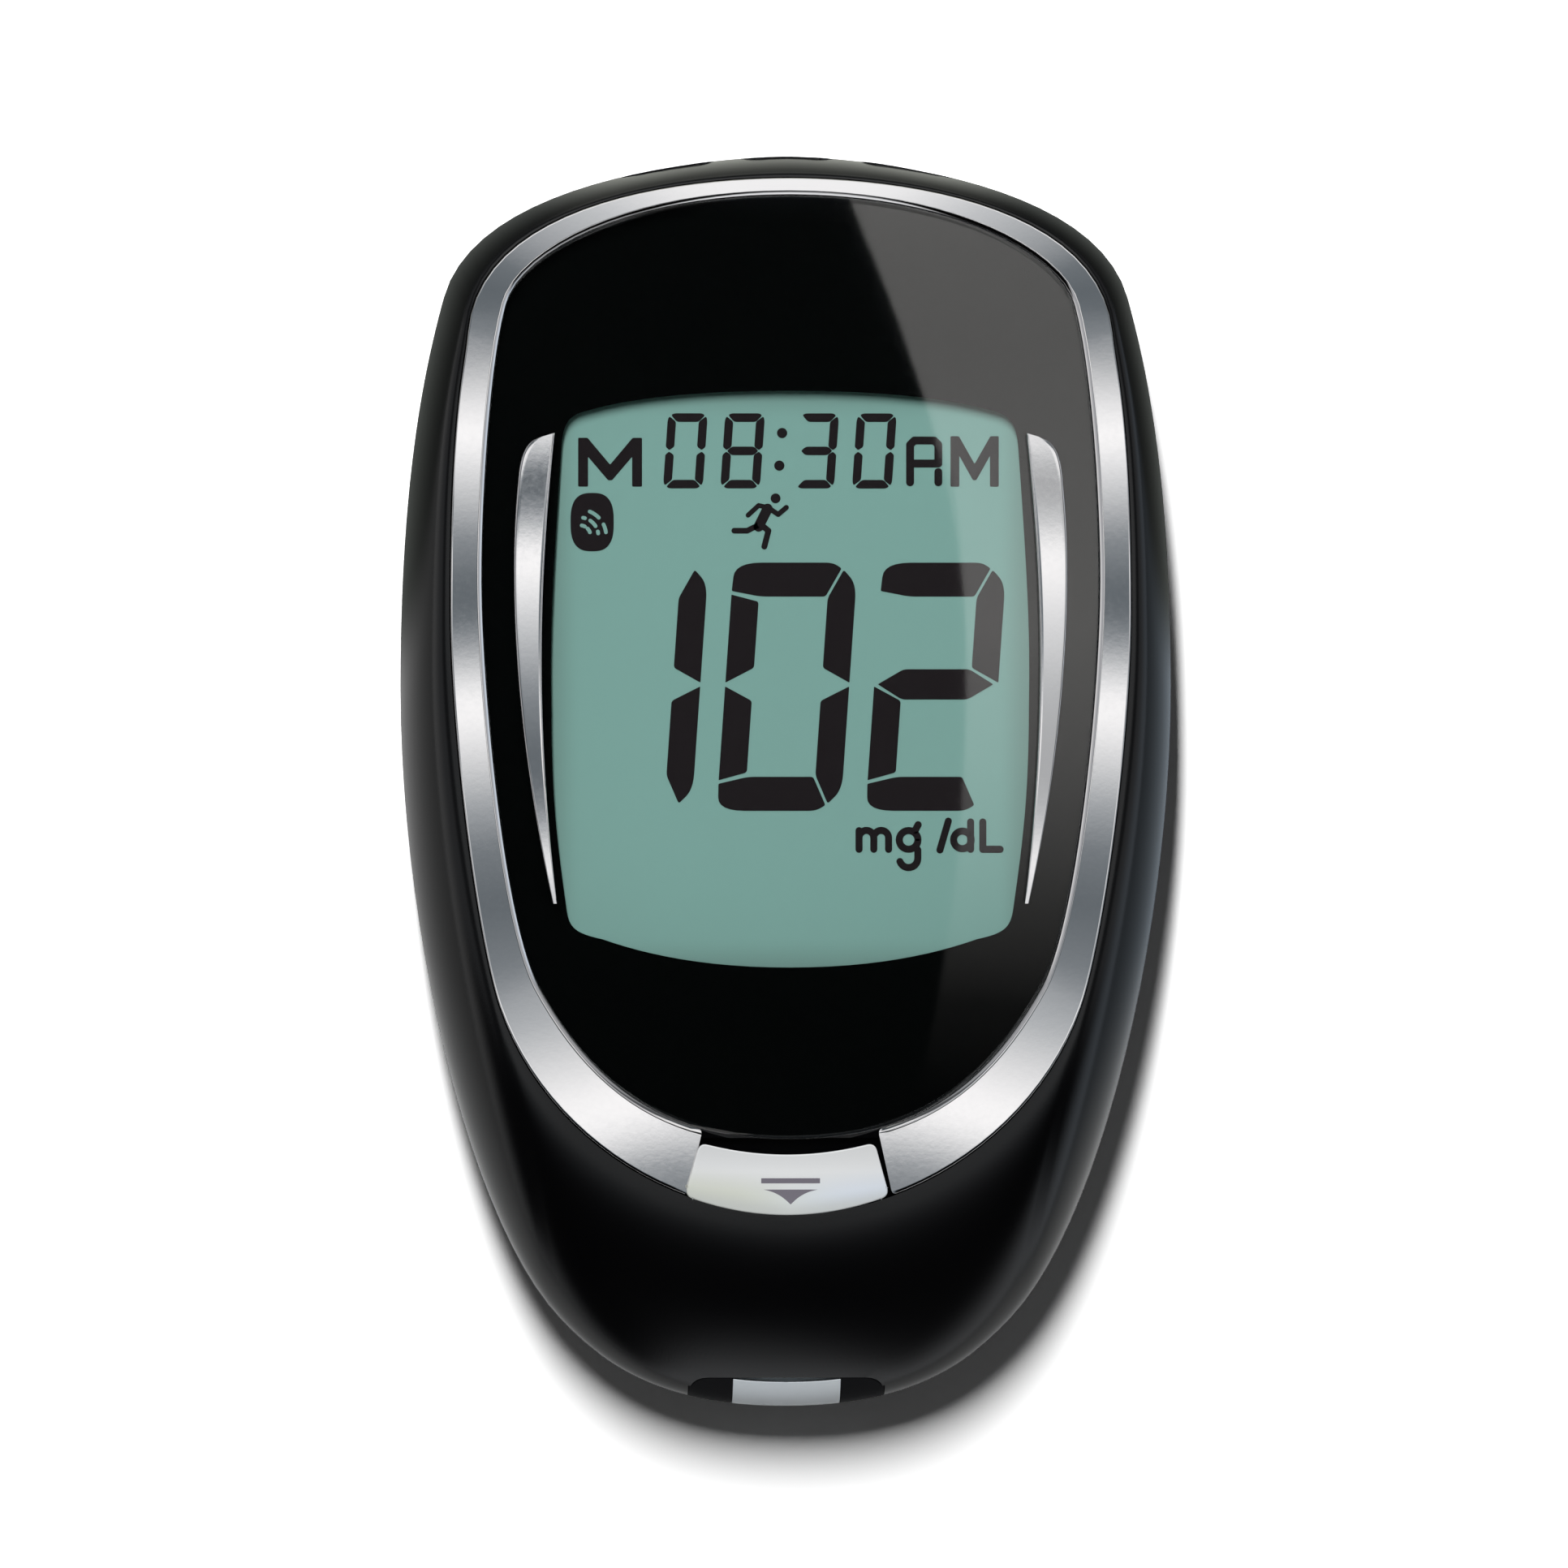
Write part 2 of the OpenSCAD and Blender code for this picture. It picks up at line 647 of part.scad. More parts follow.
module front_housing() {
    color([0.03, 0.03, 0.035]) difference() {
        union() {
            difference() {
                front_solid();
                intersection() {
                    front_hollow();
                    box(-far, far, -far, far, 0, ceiling_z);
                }
                // seat of the bezel, lens and mask
                difference() {
                    line_prism(ring_line, pocket_z, body_t + 3);
                    below_crown(seat_depth);
                }
                // opening for the display's frame
                translate([-frame_hw - fit, frame_y0 - fit, ceiling_z - 1])
                    cube([2 * (frame_hw + fit), frame_y1 - frame_y0 + 2 * fit, body_t]);
            }
            at_screws() translate([0, 0, board_top])
                cylinder(h = ceiling_z + 0.3 - board_top, r = column_r - 0.3, $fn = 48);
            // fixed seat of the ejector spring
            translate([-horn_w / 2, spring_seat_y - horn_t, port_top_z + 0.1])
                cube([horn_w, horn_t, ceiling_z + 0.2 - port_top_z]);
        }
        at_screws() translate([0, 0, board_top - 1])
            cylinder(h = screw_tip_z + 0.4 - board_top + 1, r = screw_r + snug, $fn = 32);
        // bay that the button's stem and the fingertip use
        intersection() {
            button_bay(pocket_z, body_t + 2);
            box(-far, far, pocket_y0, lens_bottom + 0.1, 0, far);
            line_prism(inset(ring_line, 0.2), 0, body_t + 2);
        }
        translate([0, slider_y0 + lug_l + fit, spring_z]) rotate([90, 0, 0])
            cylinder(h = slider_y0 + lug_l + fit - spring_seat_y, r = spring_r + spring_room, $fn = 48);
        box(-stem_w / 2 - fit, stem_w / 2 + fit, pocket_y0, stem_y1 + fit, ceiling_z - 2, body_t);
        key_holes();
        port_notch(snug);
        box(-port_hw - snug, port_hw + snug, -half_l, connector_y0, 0, port_top_z + snug);
        tongue(0.1);
    }
}

door_hw = cell_pitch / 2 + cell_d / 2 + 0.75;
door_y0 = cell_y - cell_d / 2 - 0.85;
door_y1 = cell_y + cell_d / 2 + 1;  // of the hinge axis
door_z = 0.15;                      // outer face, inside the flat back
door_corner = 2.4;
hinge_z = door_z + door_t / 2;
hinge_pin_r = 0.4;
hinge_pin_l = 0.7;
hinge_play = 0.06;
cell_z = door_t + 0.35;
roof_z = cell_z + cell_t + 0.4;
roof_t = 0.7;

module cell_at(s, grow, z0, z1) {
    translate([s * cell_pitch / 2, cell_y, z0]) cylinder(h = z1 - z0, r = cell_d / 2 + grow, $fn = 96);
}
post_y = [-half_l + 13.6, half_l - 18.1];
// Tongue of the rear shell that stands into the front one, but for the two ends.
lip_t = 0.9;
lip_h = 0.8;            // above the seam
module tongue(grow) {
    difference() {
        line_prism(inset(body_line, wall + 0.2 - grow), seam_z - 0.1, seam_z + lip_h + grow);
        line_prism(inset(body_line, wall + 0.2 + lip_t + grow), seam_z - 1, seam_z + lip_h + 1);
        box(-far, far, -far, lower_screw[1] - 4 - grow, 0, far);
        box(grow - key_pitch - key_l, key_pitch + key_l - grow, half_l - 8, half_l + 1, 0, far);
    }
}
module seam_lip() {
    tongue(0);
    difference() {
        line_prism(inset(body_line, wall - 0.3), seam_z - 4, seam_z);
        line_prism(inset(body_line, wall + 0.2 + lip_t), seam_z - 5, seam_z + 1);
        box(-key_pitch - key_l, key_pitch + key_l, half_l - 8, half_l + 1, seam_z - 0.5, far);
    }
}
module rear_housing() {
    color([0.05, 0.05, 0.055]) difference() {
        union() {
            difference() {
                rear_solid();
                rear_hollow();
            }
            seam_lip();
            at_screws() translate([0, 0, 0.4]) cylinder(h = board_z - 0.4, r = column_r, $fn = 48);
            // battery box
            box(-door_hw - 1.7, door_hw + 1.7, door_y0 - 1, door_y1 + 1.6, 0.4, roof_z + roof_t);
            // posts that carry the board's middle
            for (y = post_y) both_sides() translate([9, y, 1]) cylinder(h = board_z - 1, r = 1.2, $fn = 32);
        }
        // door seat, with a round groove that the door's hinge edge turns in
        box(-door_hw - fit, door_hw + fit, door_y0 - fit, door_y1, -1, cell_z - 0.05);
        translate([0, door_y1, hinge_z]) rotate([0, 90, 0]) {
            cylinder(h = 2 * door_hw + 2 * fit, r = door_t / 2 + fit, center = true, $fn = 48);
            cylinder(h = 2 * (door_hw + hinge_pin_l + fit), r = hinge_pin_r + hinge_play, center = true,
                $fn = 32);
        }
        // relief that the door's lower edge swings through
        box(-door_hw - fit, door_hw + fit, door_y1 - 1, door_y1 + 0.6, -1, hinge_z - 0.35);
        for (s = [-1, 1]) cell_at(s, fit, 0.5, roof_z);
        box(-4, 4, cell_y - 5, cell_y + 5, 0.5, roof_z);
        at_screws() {
            translate([0, 0, -1]) cylinder(h = head_seat_z + 1, r = head_r + 0.2, $fn = 48);
            cylinder(h = 30, r = screw_r + 0.25, $fn = 32);
        }
        contact_slots();
        // finger notch beside the door's latch
        translate([0, door_y0 - 0.2, -2]) sphere(r = 3.2, $fn = 48);
        port_notch(snug);
    }
}

module battery_door() {
    latch_w = 9;
    color([0.05, 0.05, 0.055]) difference() {
        union() {
            box(-door_hw, door_hw, door_y0 + door_corner, door_y1, door_z, door_z + door_t);
            box(-door_hw + door_corner, door_hw - door_corner, door_y0, door_y1, door_z, door_z + door_t);
            both_sides() translate([door_hw - door_corner, door_y0 + door_corner, door_z])
                cylinder(h = door_t, r = door_corner, $fn = 48);
            translate([0, door_y1, hinge_z]) rotate([0, 90, 0]) {
                cylinder(h = 2 * door_hw, r = door_t / 2, center = true, $fn = 48);
                cylinder(h = 2 * (door_hw + hinge_pin_l), r = hinge_pin_r, center = true, $fn = 32);
            }
        }
        // slots that free the latch tongue, and its finger dip
        both_sides() translate([latch_w / 2 - 0.4, door_y0 - 1, -1]) cube([0.8, 7, 4]);
        translate([0, door_y0 + 0.6, -1.6]) sphere(r = 2.2, $fn = 48);
    }
}

// ---------- cells and their contacts ----------

module coin_cell(s) {
    color("silver") {
        cell_at(s, -0.6, cell_z, cell_z + cell_t);
        cell_at(s, 0, cell_z, cell_z + cell_t - 0.5);
    }
}
module coin_cell_left() coin_cell(-1);
module coin_cell_right() coin_cell(1);

leaf_t = 0.2;
tab_y = cell_y - cell_d / 2;
module contact_slots() {
    for (s = [-1, 1]) {
        translate([s * cell_pitch / 2, 0, 0]) {
            box(-2.2, 2.2, tab_y - 0.6, tab_y + 1, cell_z, roof_z + 3);
            box(-1.2, 1.2, cell_y + 4.4, cell_y + 5, cell_z, roof_z + 3);
        }
    }
}
// Side springs that press on the cells' rims.
module positive_contacts() {
    for (s = [-1, 1]) color("gold") translate([s * cell_pitch / 2, 0, 0]) {
        box(-2, 2, tab_y - 0.5, tab_y - 0.5 + leaf_t, cell_z + 0.3, board_z - 0.02);
        box(-1, 1, tab_y - 0.5 + leaf_t - 0.01, tab_y - 0.04, cell_z + 0.8, cell_z + 1.8);
    }
}
// Leaves that press on the cells' inner faces.
module negative_contacts() {
    leaf_z = cell_z + cell_t + 0.12;
    for (s = [-1, 1]) color("gold") translate([s * cell_pitch / 2, 0, 0]) {
        box(-1, 1, cell_y - 5, cell_y + 4.8, leaf_z, leaf_z + leaf_t);
        box(-1, 1, cell_y + 4.6, cell_y + 4.8, leaf_z, board_z - 0.02);
        translate([0, cell_y - 3, leaf_z - 0.1]) cylinder(h = 0.15, r = 0.8, $fn = 32);
    }
}

// ---------- strip port, connector and contacts ----------

// The meter's outer form between two heights, for pieces that carry on its surface.
module outer_form() {
    front_solid();
    rear_solid();
}
module strip_slot(y0, y1) {
    box(-slot_w / 2, slot_w / 2, y0, y1, slot_z, slot_z + slot_h);
}
module strip_port() {
    color([0.72, 0.75, 0.79]) difference() {
        union() {
            intersection() {
                outer_form();
                box(-port_hw, port_hw, -half_l - 1, port_y - snug, port_floor_z + 0.6, body_t);
            }
            box(-port_hw, port_hw, -half_l + 1.5, connector_y0 - 0.05, port_floor_z + 0.6, port_top_z);
        }
        strip_slot(-half_l - 1, connector_y0 + 1);
    }
}
module port_surround() {
    color([0.02, 0.02, 0.02]) difference() {
        intersection() {
            outer_form();
            port_notch(0);
        }
        translate([-port_hw - snug, -half_l - 1, port_floor_z + 0.6 - snug])
            cube([port_w + 2 * snug, port_inner_y + half_l + 2, body_t]);
    }
}
connector_y0 = -half_l + 8.6;
connector_y1 = prong_y0 + prong_l + 1;
connector_l = connector_y1 - connector_y0;
connector_hw = slot_w / 2 + 2.6;
contact_pitch = 0.9;
module strip_connector() {
    color([0.15, 0.15, 0.16]) difference() {
        box(-connector_hw, connector_hw, connector_y0, connector_y1, board_top, slider_z - 0.1);
        strip_slot(connector_y0 - 1, prong_y0);
        // channels of the prongs
        both_sides() translate([prong_x - fit, prong_y0 - release_travel - fit, slot_z - fit])
            cube([prong_w + 2 * fit, connector_l, slider_z]);
        // grooves of the contacts
        for (k = [-2:2]) translate([k * contact_pitch - 0.3, connector_y0 + 1.5, board_top - 1])
            cube([0.6, connector_l, slot_z + 1.1 - board_top]);
    }
}
module strip_contacts() {
    color("gold") for (k = [-2:2]) translate([k * contact_pitch, 0, 0]) {
        box(-0.2, 0.2, connector_y0 + 2, connector_y1 + 0.9, board_top + 0.02, board_top + 0.17);
        box(-0.2, 0.2, connector_y0 + 2, connector_y0 + 2.3, board_top + 0.02, slot_z + 0.05);
    }
}

// ---------- board and display module ----------

module main_board() {
    color("darkgreen") difference() {
        intersection() {
            line_prism(inset(body_line, wall + 1.5), board_z, board_top);
            box(-far, far, connector_y0, half_l - 5.6, 0, far);
        }
        at_screws() cylinder(h = 30, r = screw_r + 0.35, $fn = 32);
    }
}
chip_x = 1;
chip_w = 9;
chip_y = (window_y + window_top) / 2 - 0.7;
lead_pitch = 1;
module controller_chip() {
    color([0.1, 0.1, 0.1]) difference() {
        translate([chip_x, chip_y, board_top + 0.15]) round_box(chip_w, chip_w, 1.1, 0.3);
        // dimple at the first lead
        translate([chip_x - chip_w / 2 + 1.2, chip_y + chip_w / 2 - 1.2, board_top + 1.1])
            cylinder(h = 1, r = 0.4, $fn = 24);
    }
    color("silver") for (q = [0:3], k = [-3:3]) translate([chip_x, chip_y, board_top]) rotate(q * 90)
        box(k * lead_pitch - 0.2, k * lead_pitch + 0.2, chip_w / 2 - 0.4, chip_w / 2 + 0.8, 0, 0.3);
}
radio_y = window_top - 7.5;
module radio_module() {
    color("silver") translate([-8.2, radio_y, board_top]) {
        round_box(8, 10, 1, 0.3);
        translate([0, -1.5, 0.99]) round_box(7, 6, 1, 0.4);
    }
}
module timing_crystal() {
    color("silver") translate([9.2, window_y + 10.1, board_top + 0.75]) rotate([0, 90, 0])
        cylinder(h = 5, r = 0.75, center = true, $fn = 32);
}
module piezo_sounder() {
    color("goldenrod") translate([10.8, window_top - 9, board_top]) {
        cylinder(h = 0.8, r = 4.6, $fn = 64);
        translate([0, 0, 0.79]) cylinder(h = 0.8, r = 3.2, $fn = 64);
    }
}
capacitors = 6;
module board_capacitors() {
    for (i = [0:capacitors - 1]) color("peru") translate([-12 + i * 2.6, window_y + 4.5, board_top])
        round_box(1.6, 0.8, 0.8, 0.1);
}

stack_t = 2 * (film_t + glass_t);
stack_z = crown(frame_y1) - seat_depth - 0.4 - stack_t;     // underside of the reflector
rear_glass_z = stack_z + film_t;
front_glass_z = rear_glass_z + glass_t;
polariser_z = front_glass_z + glass_t;
glass_hw = window_hw + glass_margin;
glass_y0 = window_y - glass_margin;
glass_y1 = window_top + glass_margin;

module lcd_reflector() {
    color([0.49, 0.65, 0.62]) box(-glass_hw, glass_hw, glass_y0, glass_y1, stack_z, rear_glass_z);
}
module lcd_rear_glass() {
    color([0.6, 0.72, 0.68]) box(-glass_hw, glass_hw, glass_y0, glass_y1, rear_glass_z, front_glass_z);
}
module lcd_front_glass() {
    color([0.6, 0.72, 0.68])
        box(-glass_hw, glass_hw, glass_y0, glass_y1 + ledge, front_glass_z, polariser_z);
}
module front_polariser() {
    edge = 0.4;
    color([0.62, 0.74, 0.7]) translate([edge - glass_hw, glass_y0 + edge, polariser_z])
        cube([2 * (glass_hw - edge), glass_y1 - glass_y0 - 2 * edge, film_t]);
}
module zebra_strip() {
    color("pink") translate([1.4 - glass_hw, glass_y1 + 0.3, board_top])
        cube([2 * glass_hw - 2.8, ledge - 0.5, front_glass_z - board_top]);
}
module lcd_frame() {
    color("lightgray") difference() {
        box(-frame_hw, frame_hw, frame_y0, frame_y1, board_top, polariser_z + film_t + 0.1);
        // seat of the glass
        translate([-glass_hw - fit, glass_y0 - fit, stack_z])
            cube([2 * (glass_hw + fit), glass_y1 + ledge - glass_y0 + 2 * fit, far]);
        // well above the board's parts
        box(-frame_hw + 2.2, frame_hw - 2.2, frame_y0 + 2.6, glass_y1 - 1, board_top - 1, far);
        box(-glass_hw + 1.3, glass_hw - 1.3, glass_y1 + 0.2, glass_y1 + ledge - 0.1, board_top - 1, far);
    }
}

// ---------- parts ----------

front_housing();
rear_housing();
battery_door();
housing_screws();
bezel_ring();
display_lens();
lens_mask();
side_trim_left();
side_trim_right();
front_polariser();
lcd_front_glass();
lcd_rear_glass();
lcd_reflector();
lcd_frame();
zebra_strip();
main_board();
controller_chip();
radio_module();
timing_crystal();
piezo_sounder();
board_capacitors();
strip_port();
port_surround();
strip_connector();
strip_contacts();
release_button();
ejector_slider();
ejector_spring();
up_key();
set_key();
down_key();
key_switches();
coin_cell_left();
coin_cell_right();
positive_contacts();
negative_contacts();
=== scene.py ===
import math

import bpy
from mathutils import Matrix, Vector


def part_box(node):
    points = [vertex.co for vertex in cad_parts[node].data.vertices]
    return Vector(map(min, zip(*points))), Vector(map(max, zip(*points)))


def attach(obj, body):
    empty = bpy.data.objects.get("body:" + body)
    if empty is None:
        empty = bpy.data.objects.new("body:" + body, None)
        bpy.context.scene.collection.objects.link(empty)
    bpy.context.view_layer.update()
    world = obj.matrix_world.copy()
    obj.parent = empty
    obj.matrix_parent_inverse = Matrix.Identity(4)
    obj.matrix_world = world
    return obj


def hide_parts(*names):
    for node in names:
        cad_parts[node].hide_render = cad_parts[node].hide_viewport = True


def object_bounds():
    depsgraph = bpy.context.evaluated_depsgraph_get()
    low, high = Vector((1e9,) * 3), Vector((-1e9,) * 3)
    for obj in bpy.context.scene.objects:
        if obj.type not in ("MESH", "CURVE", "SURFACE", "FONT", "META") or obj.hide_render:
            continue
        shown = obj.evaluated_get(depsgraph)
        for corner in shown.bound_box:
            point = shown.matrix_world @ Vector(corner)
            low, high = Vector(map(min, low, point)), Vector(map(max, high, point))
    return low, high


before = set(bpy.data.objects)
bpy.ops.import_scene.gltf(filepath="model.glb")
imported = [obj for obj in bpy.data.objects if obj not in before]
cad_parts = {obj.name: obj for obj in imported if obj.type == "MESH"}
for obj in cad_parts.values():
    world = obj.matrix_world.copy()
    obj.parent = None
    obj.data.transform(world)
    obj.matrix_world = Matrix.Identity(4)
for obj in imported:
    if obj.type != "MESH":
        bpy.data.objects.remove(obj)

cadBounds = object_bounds()
mm = 0.001
pixel = 0.0573 * mm          # one pixel of the 1932 pixel frame, at the seam of the two shells
print("frame loaded")


# ---- shader wires -------------------------------------------------------

class Wire:
    # a socket that can be used in sums
    def __init__(self, paint, socket):
        self.paint = paint
        self.socket = socket

    def sum(self, operation, first, second=0.0):
        return self.paint.node("ShaderNodeMath", {"operation": operation}, {0: first, 1: second})

    def __add__(self, other):
        return self.sum("ADD", self, other)

    def __sub__(self, other):
        return self.sum("SUBTRACT", self, other)

    def __mul__(self, other):
        return self.sum("MULTIPLY", self, other)

    def __truediv__(self, other):
        return self.sum("DIVIDE", self, other)

    def __abs__(self):
        return self.sum("ABSOLUTE", self)


class Paint:
    # a node tree and the nodes that are put into it
    def __init__(self, tree):
        self.tree = tree
        tree.nodes.clear()

    def node(self, kind, settings=None, inputs=None, out=0):
        made = self.tree.nodes.new(kind)
        for name, value in (settings or {}).items():
            if name == "stops":
                self.fillRamp(made.color_ramp, value)
            else:
                setattr(made, name, value)
        for name, value in (inputs or {}).items():
            if isinstance(value, Wire):
                self.tree.links.new(value.socket, made.inputs[name])
            else:
                made.inputs[name].default_value = value
        return Wire(self, made.outputs[out]) if len(made.outputs) else made

    def fillRamp(self, ramp, stops):
        while len(ramp.elements) < len(stops):
            ramp.elements.new(1.0)
        for element, (position, colour) in zip(ramp.elements, stops):
            element.position = position
            element.color = colour if len(colour) == 4 else (*colour, 1.0)

    def steps(self, value, low, high):
        # 0 below low, 1 above high, smooth between
        settings = {"interpolation_type": "SMOOTHSTEP", "clamp": True}
        return self.node("ShaderNodeMapRange", settings, {0: value, 1: low, 2: high, 3: 0.0, 4: 1.0})

    def blend(self, factor, first, second):
        return self.node("ShaderNodeMix", {"data_type": "RGBA"}, {0: factor, 6: first, 7: second}, out=2)

    def noise(self, scale, detail=3.0, roughness=0.55, stretch=None):
        place = self.node("ShaderNodeTexCoord", out=3)
        if stretch:
            place = self.node("ShaderNodeMapping", {}, {"Vector": place, "Scale": stretch})
        values = {"Vector": place, "Scale": scale, "Detail": detail, "Roughness": roughness}
        return self.node("ShaderNodeTexNoise", {}, values)

    def bump(self, height, distance):
        return self.node("ShaderNodeBump", {}, {"Height": height, "Distance": distance})

    def axes(self, out=3):
        # x, y and z of the spot in the object, or with out=0 of the direction in the world
        spot = self.node("ShaderNodeTexCoord", out=out)
        apart = self.node("ShaderNodeSeparateXYZ", {}, {0: spot}).socket.node
        return [Wire(self, output) for output in apart.outputs]

    def surface(self, shader):
        self.node("ShaderNodeOutputMaterial", {}, {"Surface": shader})

    def principled(self, values):
        self.surface(self.node("ShaderNodeBsdfPrincipled", {}, values))


def newMaterial(name):
    material = bpy.data.materials.new(name)
    material.use_nodes = True
    return material, Paint(material.node_tree)


def srgb(red, green, blue):
    def linear(level):
        level /= 255.0
        return level / 12.92 if level <= 0.04045 else ((level + 0.055) / 1.055) ** 2.4
    return (linear(red), linear(green), linear(blue), 1.0)


# ---- materials ----------------------------------------------------------

def mouldedPlastic(name, colour, roughness, grain=0.004 * mm, mottle=0.06, specular=0.5):
    # satin or glossy moulding: fine grain, a slow wave in the sheen and a little variation of tone
    material, paint = newMaterial(name)
    slow = paint.noise(60.0, 2.0)
    fine = paint.noise(5200.0, 2.0, 0.6)
    darker = tuple(channel * (1.0 - mottle) for channel in colour[:3]) + (1.0,)
    lighter = tuple(min(1.0, channel * (1.0 + mottle)) for channel in colour[:3]) + (1.0,)
    values = {
        "Base Color": paint.blend(slow, darker, lighter),
        "Roughness": slow * 0.06 + (roughness - 0.03),
        "Normal": paint.bump(fine, grain),
        "Specular IOR Level": specular,
    }
    paint.principled(values)
    return material


def metal(name, colour, roughness, brushed=None, scratch=0.002 * mm):
    # plain or brushed metal: brushed stretches the grain along one axis
    material, paint = newMaterial(name)
    grain = paint.noise(2600.0, 4.0, 0.6, brushed)
    slow = paint.noise(90.0, 2.0)
    values = {
        "Base Color": paint.blend(slow * 0.4, colour, tuple(c * 0.92 for c in colour[:3]) + (1.0,)),
        "Metallic": 1.0,
        "Roughness": grain * 0.08 + (roughness - 0.04),
        "Normal": paint.bump(grain, scratch),
    }
    paint.principled(values)
    return material


def clearSheet(name, tint, gloss=0.02, ior=1.45):
    # a thin clear sheet: see-through, with a mirror-like film that grows towards grazing angles
    material, paint = newMaterial(name)
    through = paint.node("ShaderNodeBsdfTransparent", {}, {"Color": tint})
    mirror = paint.node("ShaderNodeBsdfGlossy", {}, {"Color": (1, 1, 1, 1), "Roughness": gloss})
    edge = paint.node("ShaderNodeFresnel", {}, {"IOR": ior})
    paint.surface(paint.node("ShaderNodeMixShader", {}, {0: edge, 1: through, 2: mirror}))
    return material


def pearlFinish():
    # pearl white cap, a little warm at the left and cool at the right, with a painted highlight that whitens
    # its upper edge and painted shade that darkens its lower edge
    material, paint = newMaterial("pearl white")
    x, y, _ = paint.axes()
    across = paint.steps(x, -4.5 * mm, 5.0 * mm)
    # painted highlight: the cap turns whiter towards its upper edge
    paintedHighlight = paint.steps(y + abs(x) * -0.1, -29.6 * mm, -27.4 * mm)
    tone = paint.blend(across, srgb(222, 226, 215), srgb(228, 236, 246))
    tone = paint.blend(paintedHighlight, tone, srgb(246, 248, 249))
    # painted shade: the cap turns darker towards its lower edge
    low = paint.steps(y + abs(x) * -0.15, -29.3 * mm, -30.6 * mm)
    tone = paint.blend(low * 0.8, tone, srgb(196, 200, 198))
    flakes = paint.noise(9000.0, 2.0)
    values = {"Base Color": tone, "Roughness": flakes * 0.05 + 0.28, "Coat Weight": 0.35,
              "Normal": paint.bump(flakes, 0.001 * mm)}
    paint.principled(values)
    return material


finishes = {
    "pearl": pearlFinish(),
    "shell": mouldedPlastic("satin black", srgb(4, 4, 5), 0.21, 0.002 * mm),
    "bay": mouldedPlastic("bay black", srgb(3, 3, 4), 0.7, specular=0.08),
    "recess": mouldedPlastic("matte black", srgb(24, 24, 26), 0.6, specular=0.06),
    "chrome": metal("plated bezel", srgb(232, 230, 230), 0.05, scratch=0.0006 * mm),
    "steel": metal("plain steel", srgb(182, 184, 188), 0.3, (0.1, 1.0, 1.0)),
    "gold": metal("gold plating", srgb(222, 178, 96), 0.25),
    "brass": metal("brass disc", srgb(206, 170, 104), 0.3),
    "lens": clearSheet("clear lens", (1, 1, 1, 1)),
    "glass": clearSheet("display glass", (1, 1, 1, 1), 0.03, 1.12),
    "mask": mouldedPlastic("black print", srgb(2, 3, 3), 0.6, 0.001 * mm, specular=0.05),
    "ink": mouldedPlastic("display ink", srgb(33, 29, 31), 0.6, 0.001 * mm, specular=0.1),
    "print": mouldedPlastic("grey print", srgb(122, 118, 128), 0.5, 0.001 * mm),
    "port": mouldedPlastic("pale grey port", srgb(238, 246, 255), 0.35),
    "natural": mouldedPlastic("natural plastic", srgb(214, 214, 208), 0.5),
    "elastomer": mouldedPlastic("contact elastomer", srgb(216, 160, 158), 0.6),
    "board": mouldedPlastic("solder mask", srgb(22, 92, 48), 0.35, 0.02 * mm, 0.2),
    "chip": mouldedPlastic("moulded chip", srgb(34, 34, 36), 0.6, 0.01 * mm),
    "ceramic": mouldedPlastic("fired ceramic", srgb(168, 138, 108), 0.55),
}
print("materials ready")


# ---- outlines and mesh making ------------------------------------------

# the case: sizes in millimetres, and the outlines' proportions
case = {
    "halfWidth": cadBounds[1][0] / mm,
    "halfLength": cadBounds[1][1] / mm,
    "thickness": 17.2,
    "seam": 8.6,
    "seamGroove": 0.2,
    "wall": 1.8,
    "crownRadius": 300.0,
    "crownY": 6.0,
    "backInset": 3.9,
    "wideY": 6.6,
    "shape": (0.887, 0.735, 74.5, 0.584, 0.879, 46.6, (0.11, 0.34, 0.21, 0.52, 0.62, 0.35, 0.17, 0.32)),
    "stretchPoints": 22,
    "rings": 22,
}
bezel = {
    "borderSide": 3.2,
    "borderTop": 1.6,
    "borderBottom": 13.6,
    "side": 2.25,
    "top": 1.25,
    "bottom": 5.3,
    "rise": 0.45,
    "edge": 0.09,
    "chamfer": 0.26,
    "endRadius": 0.45,
    "fall": 0.126,
    "extraFall": 0.03,
    "wideY": 12.1,
    "shape": (0.948, 0.639, 84.8, 0.854, 0.657, 71.4, (0.25, 0.41, 0.12, 0.58, 0.37, 0.21, 0.38, 0.37)),
}
lens = {
    "wideY": 14.3,
    "thickness": 1.2,
    "maskThickness": 0.15,
    "edge": 0.03,
    "shape": (0.919, 0.715, 74.5, 0.814, 0.728, 61.2, (0.55, 0.16, 0.21, 0.23, 0.36, 0.23, 0.41, 0.37)),
}
seatDepth = lens["thickness"] + lens["maskThickness"] + 0.05


def crown(y):
    reach = y - case["crownY"]
    return case["thickness"] - case["crownRadius"] + math.sqrt(case["crownRadius"] ** 2 - reach * reach)


def curve(points, count):
    # a cubic stretch without its last point
    a, b, c, d = (Vector(point) for point in points)
    found = []
    for step in range(count):
        t = step / count
        found.append(a * (1 - t) ** 3 + b * (3 * t * (1 - t) ** 2) + c * (3 * t * t * (1 - t)) + d * t ** 3)
    return found


def mirrored(half, bottom):
    left = [Vector((-point.x, point.y)) for point in half[:0:-1]]
    return half + [Vector((0, bottom))] + left


